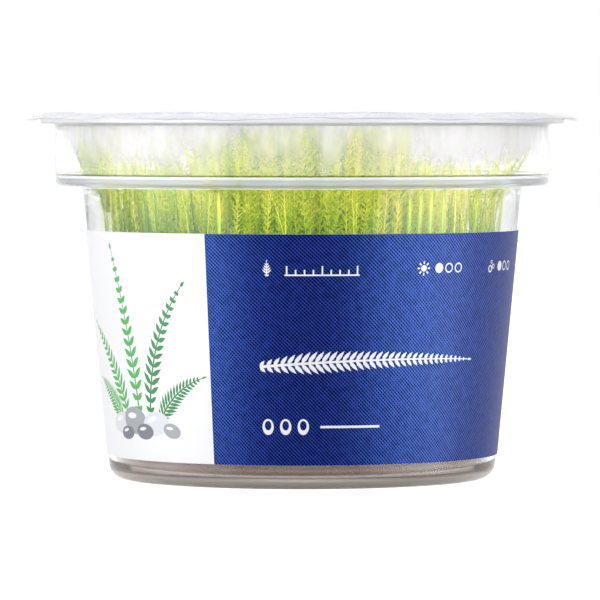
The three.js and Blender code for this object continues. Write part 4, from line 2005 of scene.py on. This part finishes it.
    def grow_ledge(self, growths: dict[str, Growth], rng: np.random.Generator) -> None:
        """Grows the fronds that lean out over the ledge under the collar.

        Args:
            growths: The growths by piece.
            rng: The source of random numbers.
        """
        for turn_from, turn_to, count, height in self.ledge_tufts:
            for _ in range(count):
                turn = math.radians(rng.uniform(turn_from, turn_to))
                outward = level(turn)
                sideways = level(turn + math.pi / 2)
                root = outward * rng.uniform(*self.ledge_feet)
                root[2] = rng.uniform(*self.ledge_heights)
                tip = outward * rng.uniform(*self.ledge_tips) + sideways * rng.normal(0, 2.5)
                tip[2] = height + rng.normal(0, 1.4)
                facing = level(turn + rng.normal(0, 0.6))
                tone = float(np.clip(rng.normal(0.26, 0.1), 0.05, 0.6))
                habit = Kind.LEDGE_FROND.value
                self.growth_at(growths, tip).frond(root, tip, facing, habit, tone, rng)

    def grow_window(self, growths: dict[str, Growth], rng: np.random.Generator) -> None:
        """Grows the lower fronds that the bare window at the back shows.

        Args:
            growths: The growths by piece.
            rng: The source of random numbers.
        """
        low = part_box("gel")[1].z / MM
        count = self.window_fronds
        rows = [(low + rise, away) for rise in self.window_rises for away in self.window_reaches]
        for root_z, away in rows:
            for number in range(count):
                share = (number + rng.uniform(-0.4, 0.4)) / (count - 1) - 0.5
                turn = math.radians(90 + self.window_span * share)
                outward = level(turn)
                root = outward * (away + rng.uniform(-1, 0.6))
                root[2] = root_z + rng.uniform(-0.2, 2.5)
                tip = root + outward * 1.2
                tip[2] = root_z + self.window_length + rng.uniform(-2.5, 2.5)
                tip[:2] += rng.normal(0, 1.2, 2)
                tone = float(np.clip(rng.normal(0.42, 0.14), 0.05, 0.7))
                facing = level(turn + rng.normal(0, 0.35))
                habit = Kind.WALL_FROND.value
                self.growth_at(growths, root).frond(root, tip, facing, habit, tone, rng)

    def tangle(self) -> bpy.types.Object:
        """Builds the dense lower growth as one lumpy solid.

        Returns:
            The new object, with its tones.
        """
        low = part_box("moss_mat")[0].z / MM
        top = self.tangle_top
        profile = [(2.0, low), (20.0, low), (self.cup.inside(low) - 1.6, low)]
        for height in np.linspace(low + 0.6, top - 2.5, 26):
            profile.append((self.cup.inside(height) - 2.2, float(height)))
        edge = self.cup.inside(top) - 3.0
        profile += arc((edge - 1.2, top - 1.2), 1.2, 0, 90, 3)
        profile += [(float(r), top) for r in np.linspace(edge - 3.0, 2.0, 17)]
        piece = turned("moss_tangle", profile, 144)
        points = points_of(piece) / MM
        reach = np.hypot(points[:, 0], points[:, 1])
        turn = np.arctan2(points[:, 1], points[:, 0])
        rng = np.random.default_rng(self.seed + 1)
        strands = np.sin(37 * turn + 0.3 * points[:, 2]) + np.sin(61 * turn - 0.2 * points[:, 2] + 2)
        jitter = rng.uniform(-1, 1, len(points))
        side = ease(15.0, 30.0, reach) * ease(low + 0.3, low + 3, points[:, 2])
        scale = 1 - side * (0.35 + 0.25 * strands + 0.45 * jitter) / np.maximum(reach, 1)
        points[:, 0] *= scale
        points[:, 1] *= scale
        lumps = np.sin(0.7 * points[:, 0] + 1) * np.sin(0.8 * points[:, 1]) + 1.3 * jitter
        points[:, 2] += ease(top - 2.6, top, points[:, 2]) * 1.1 * lumps
        move_points(piece, points * MM)
        # Painted shade: the tangle is darker towards its bottom.
        depth = ease(low, top, points[:, 2])
        MossTissue.set_tones(piece, 0.1 + 0.16 * depth + 0.14 * jitter)
        smooth(piece, 75)
        return piece

    def build(self) -> None:
        """Builds the tangle and the fronds, and dresses them."""
        tissue = MossTissue("moss_tissue", self.frond_stops).make()
        shaded_tangle_tissue = MossTissue("moss_tangle_shaded_tissue", self.tangle_shade_stops, 0.9).make()
        dress(self.tangle(), [shaded_tangle_tissue], ["moss_mat"])
        shoots: dict[str, list[str]] = {}
        for name in sorted(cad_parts):
            if name.startswith("moss_shoot"):
                low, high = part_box(name)
                middle = (low + high) / (2 * MM)
                shoots.setdefault(self.bed_of(middle.x, middle.y), []).append(name)
        for name, growth in sorted(self.grow().items()):
            points = self.press(np.vstack(growth.points)) * MM
            piece = mesh_from(name, points, np.vstack(growth.faces))
            # Painted shade: the fronds are darker low down and lighter towards their tops above the
            # label.
            rise = ease(*self.shade_rise_heights, points[:, 2] / MM)
            tones = np.concatenate(growth.tones) + self.low_shade_tone + self.top_light_tone * rise
            MossTissue.set_tones(piece, tones)
            dress(piece, [tissue], shoots.pop(name, []))
        if shoots:
            raise ValueError(f"no piece stands for {shoots}")


# The studio


@dataclass
class Studio:
    """A plain white room, soft light panels at both sides, and the photograph's camera."""

    eye: tuple[float, float, float] = (-0.0004, -1.0, 0.0689)
    aim: tuple[float, float, float] = (-0.0004, 0.0, 0.0342)
    lens: float = 311.0
    sensor_width: float = 36.0
    front_glow: float = 0.22
    back_glow: float = 1.05
    back_span: Point = (-0.7, 0.2)
    top_glow: float = 0.6
    top_span: Point = (0.3, 0.9)
    inner_glow: float = 2.1
    inner_top_glow: float = 2.7
    floor_size: float = 6.0
    floor_shade: float = 0.32
    floor_glow: float = 0.95
    shade_from: float = 0.018
    shade_to: float = 0.034
    lamps: tuple[tuple[str, float, tuple[float, float, float]], ...] = (
        ("key", 1.05, (-0.15, -0.75, 0.55)),
        ("fill_left", 0.62, (-1.0, 0.0, 0.12)),
        ("fill_right", 0.75, (1.0, 0.05, 0.12)),
    )
    lamp_size: float = 0.7
    panel_glow: float = 6.4
    panel_away: float = 0.115
    panel_from: float = -0.17
    panel_to: float = -0.03
    panel_low: float = -0.08
    panel_high: float = 0.13
    panel_soft: float = 0.25

    def camera(self) -> None:
        """Places the camera."""
        data = bpy.data.cameras.new("camera")
        data.lens = self.lens
        data.sensor_width = self.sensor_width
        data.clip_start = 0.05
        data.clip_end = 50.0
        camera = bpy.data.objects.new("camera", data)
        camera.location = self.eye
        direction = Vector(self.aim) - Vector(self.eye)
        camera.rotation_euler = direction.to_track_quat("-Z", "Y").to_euler()
        bpy.context.scene.collection.objects.link(camera)
        bpy.context.scene.camera = camera

    def room_light(self, graph: ShaderGraph) -> bpy.types.NodeSocket:
        """Gives the light of the room by direction: dim in front, brighter behind and above.

        Args:
            graph: The world's graph.

        Returns:
            The socket with the brightness.
        """
        direction = graph.add("TexCoord").outputs["Generated"]
        axes = graph.add("SeparateXYZ", {0: direction}).outputs
        back = graph.span(axes["Y"], *self.back_span, self.front_glow, self.back_glow)
        top = graph.span(axes["Z"], *self.top_span, 0, self.top_glow)
        path = graph.add("LightPath").outputs
        # Light that has passed two clear faces or more comes through the cup.
        inside = graph.maths("GREATER_THAN", path["Transmission Depth"], 1.5)
        above = graph.span(axes["Z"], 0.0, 0.9, self.inner_glow, self.inner_top_glow)
        return graph.mixed(graph.maths("ADD", back, top), above, inside)

    def soften(self, data: bpy.types.AreaLight) -> None:
        """Lets a panel's light fade towards its edges.

        Args:
            data: The panel's light.
        """
        data.use_nodes = True
        graph = ShaderGraph.of_tree(data.node_tree)
        place = graph.add("NewGeometry").outputs["Parametric"]
        axes = graph.add("SeparateXYZ", {0: place}).outputs
        strength = 1.0
        for axis in ("X", "Y"):
            edge = graph.maths("PINGPONG", axes[axis], 0.5)
            strength = graph.maths("MULTIPLY", strength, graph.span(edge, 0, self.panel_soft))
        graph.join(strength, data.node_tree.nodes["Emission"].inputs["Strength"])

    def panels(self) -> None:
        """Adds an upright light panel beside the cup at each side, outside the camera's view."""
        depth = self.panel_to - self.panel_from
        height = self.panel_high - self.panel_low
        for name, side in (("panel_left", -1), ("panel_right", 1)):
            data = bpy.data.lights.new(name, "AREA")
            data.shape = "RECTANGLE"
            data.size, data.size_y = depth, height
            data.energy = self.panel_glow * math.pi * depth * height
            self.soften(data)
            panel = bpy.data.objects.new(name, data)
            panel.location = (side * self.panel_away, self.panel_from + depth / 2,
                              self.panel_low + height / 2)
            panel.rotation_euler = Vector((-side, 0, 0)).to_track_quat("-Z", "Z").to_euler()
            panel.visible_camera = False
            panel.visible_diffuse = False
            panel.visible_transmission = False
            bpy.context.scene.collection.objects.link(panel)

    def soft_lamps(self) -> None:
        """Adds large soft lights, which leave no reflection of themselves."""
        for name, glow, place in self.lamps:
            data = bpy.data.lights.new(name, "AREA")
            data.size = self.lamp_size
            away = Vector(place)
            data.energy = glow * math.pi**2 * away.length**2
            light = bpy.data.objects.new(name, data)
            light.location = away
            light.rotation_euler = (-away).to_track_quat("-Z", "Y").to_euler()
            light.visible_camera = False
            light.visible_glossy = False
            light.visible_transmission = False
            bpy.context.scene.collection.objects.link(light)

    def seen(self, graph: ShaderGraph) -> bpy.types.NodeSocket:
        """Gives 1 where the room itself is seen, also through the clear cup, and 0 elsewhere.

        Args:
            graph: The graph of the world or the floor.

        Returns:
            The socket with the share.
        """
        path = graph.add("LightPath").outputs
        clear = graph.maths("LESS_THAN", path["Diffuse Depth"], 0.5)
        through = graph.maths("MULTIPLY", path["Is Transmission Ray"], clear)
        return graph.maths("MAXIMUM", path["Is Camera Ray"], through)

    def world(self) -> None:
        """Makes the room: plain white where it is seen, also through the clear cup."""
        world = bpy.data.worlds.new("white_room")
        world.use_nodes = True
        graph = ShaderGraph.of_tree(world.node_tree)
        light = graph.mixed(self.room_light(graph), 1.0, self.seen(graph))
        background = world.node_tree.nodes["Background"]
        graph.join(light, background.inputs["Strength"])
        background.inputs["Color"].default_value = (1, 1, 1, 1)
        bpy.context.scene.world = world

    def floor(self) -> None:
        """Adds the pale floor."""
        bpy.ops.object.select_all(action="DESELECT")
        bpy.ops.mesh.primitive_plane_add(size=self.floor_size, location=(0, 0, 0))
        floor = bpy.context.object
        floor.name = "floor"
        graph = ShaderGraph("pale_floor")
        graph.finish(Base_Color=(self.floor_shade,) * 3, Roughness=0.9, Specular_IOR_Level=0.0,
                     Emission_Color=(1, 1, 1))
        reach = graph.add("VectorMath", {0: graph.place()}, operation="LENGTH").outputs["Value"]
        shade = graph.span(reach, self.shade_from, self.shade_to)
        share = graph.maths("MULTIPLY", self.seen(graph), shade)
        glow = graph.maths("MULTIPLY", share, self.floor_glow)
        graph.join(glow, graph.shader.inputs["Emission Strength"])
        floor.data.materials.append(graph.material)
        floor.visible_glossy = False

    def build(self) -> None:
        """Sets up the camera, the room, the light panels and the floor."""
        self.camera()
        self.world()
        self.panels()
        self.soft_lamps()
        self.floor()
        scene = bpy.context.scene
        scene.view_settings.view_transform = "Standard"
        scene.cycles.max_bounces = 16
        scene.cycles.transmission_bounces = 14
        scene.cycles.glossy_bounces = 6
        scene.cycles.diffuse_bounces = 6
        scene.cycles.transparent_max_bounces = 16
        scene.cycles.sample_clamp_indirect = 6.0


def main() -> None:
    """Builds the studio and every piece, and writes how many triangles each piece has."""
    logging.basicConfig(level=logging.INFO, format="%(name)s %(message)s")
    Studio().build()
    cup = Cup()
    cup.build()
    LooseFilm(cup).build()
    Label(cup).build()
    Gel(cup).build()
    Moss(cup).build()
    Drops(cup).build()


if __name__ == "__main__":
    main()
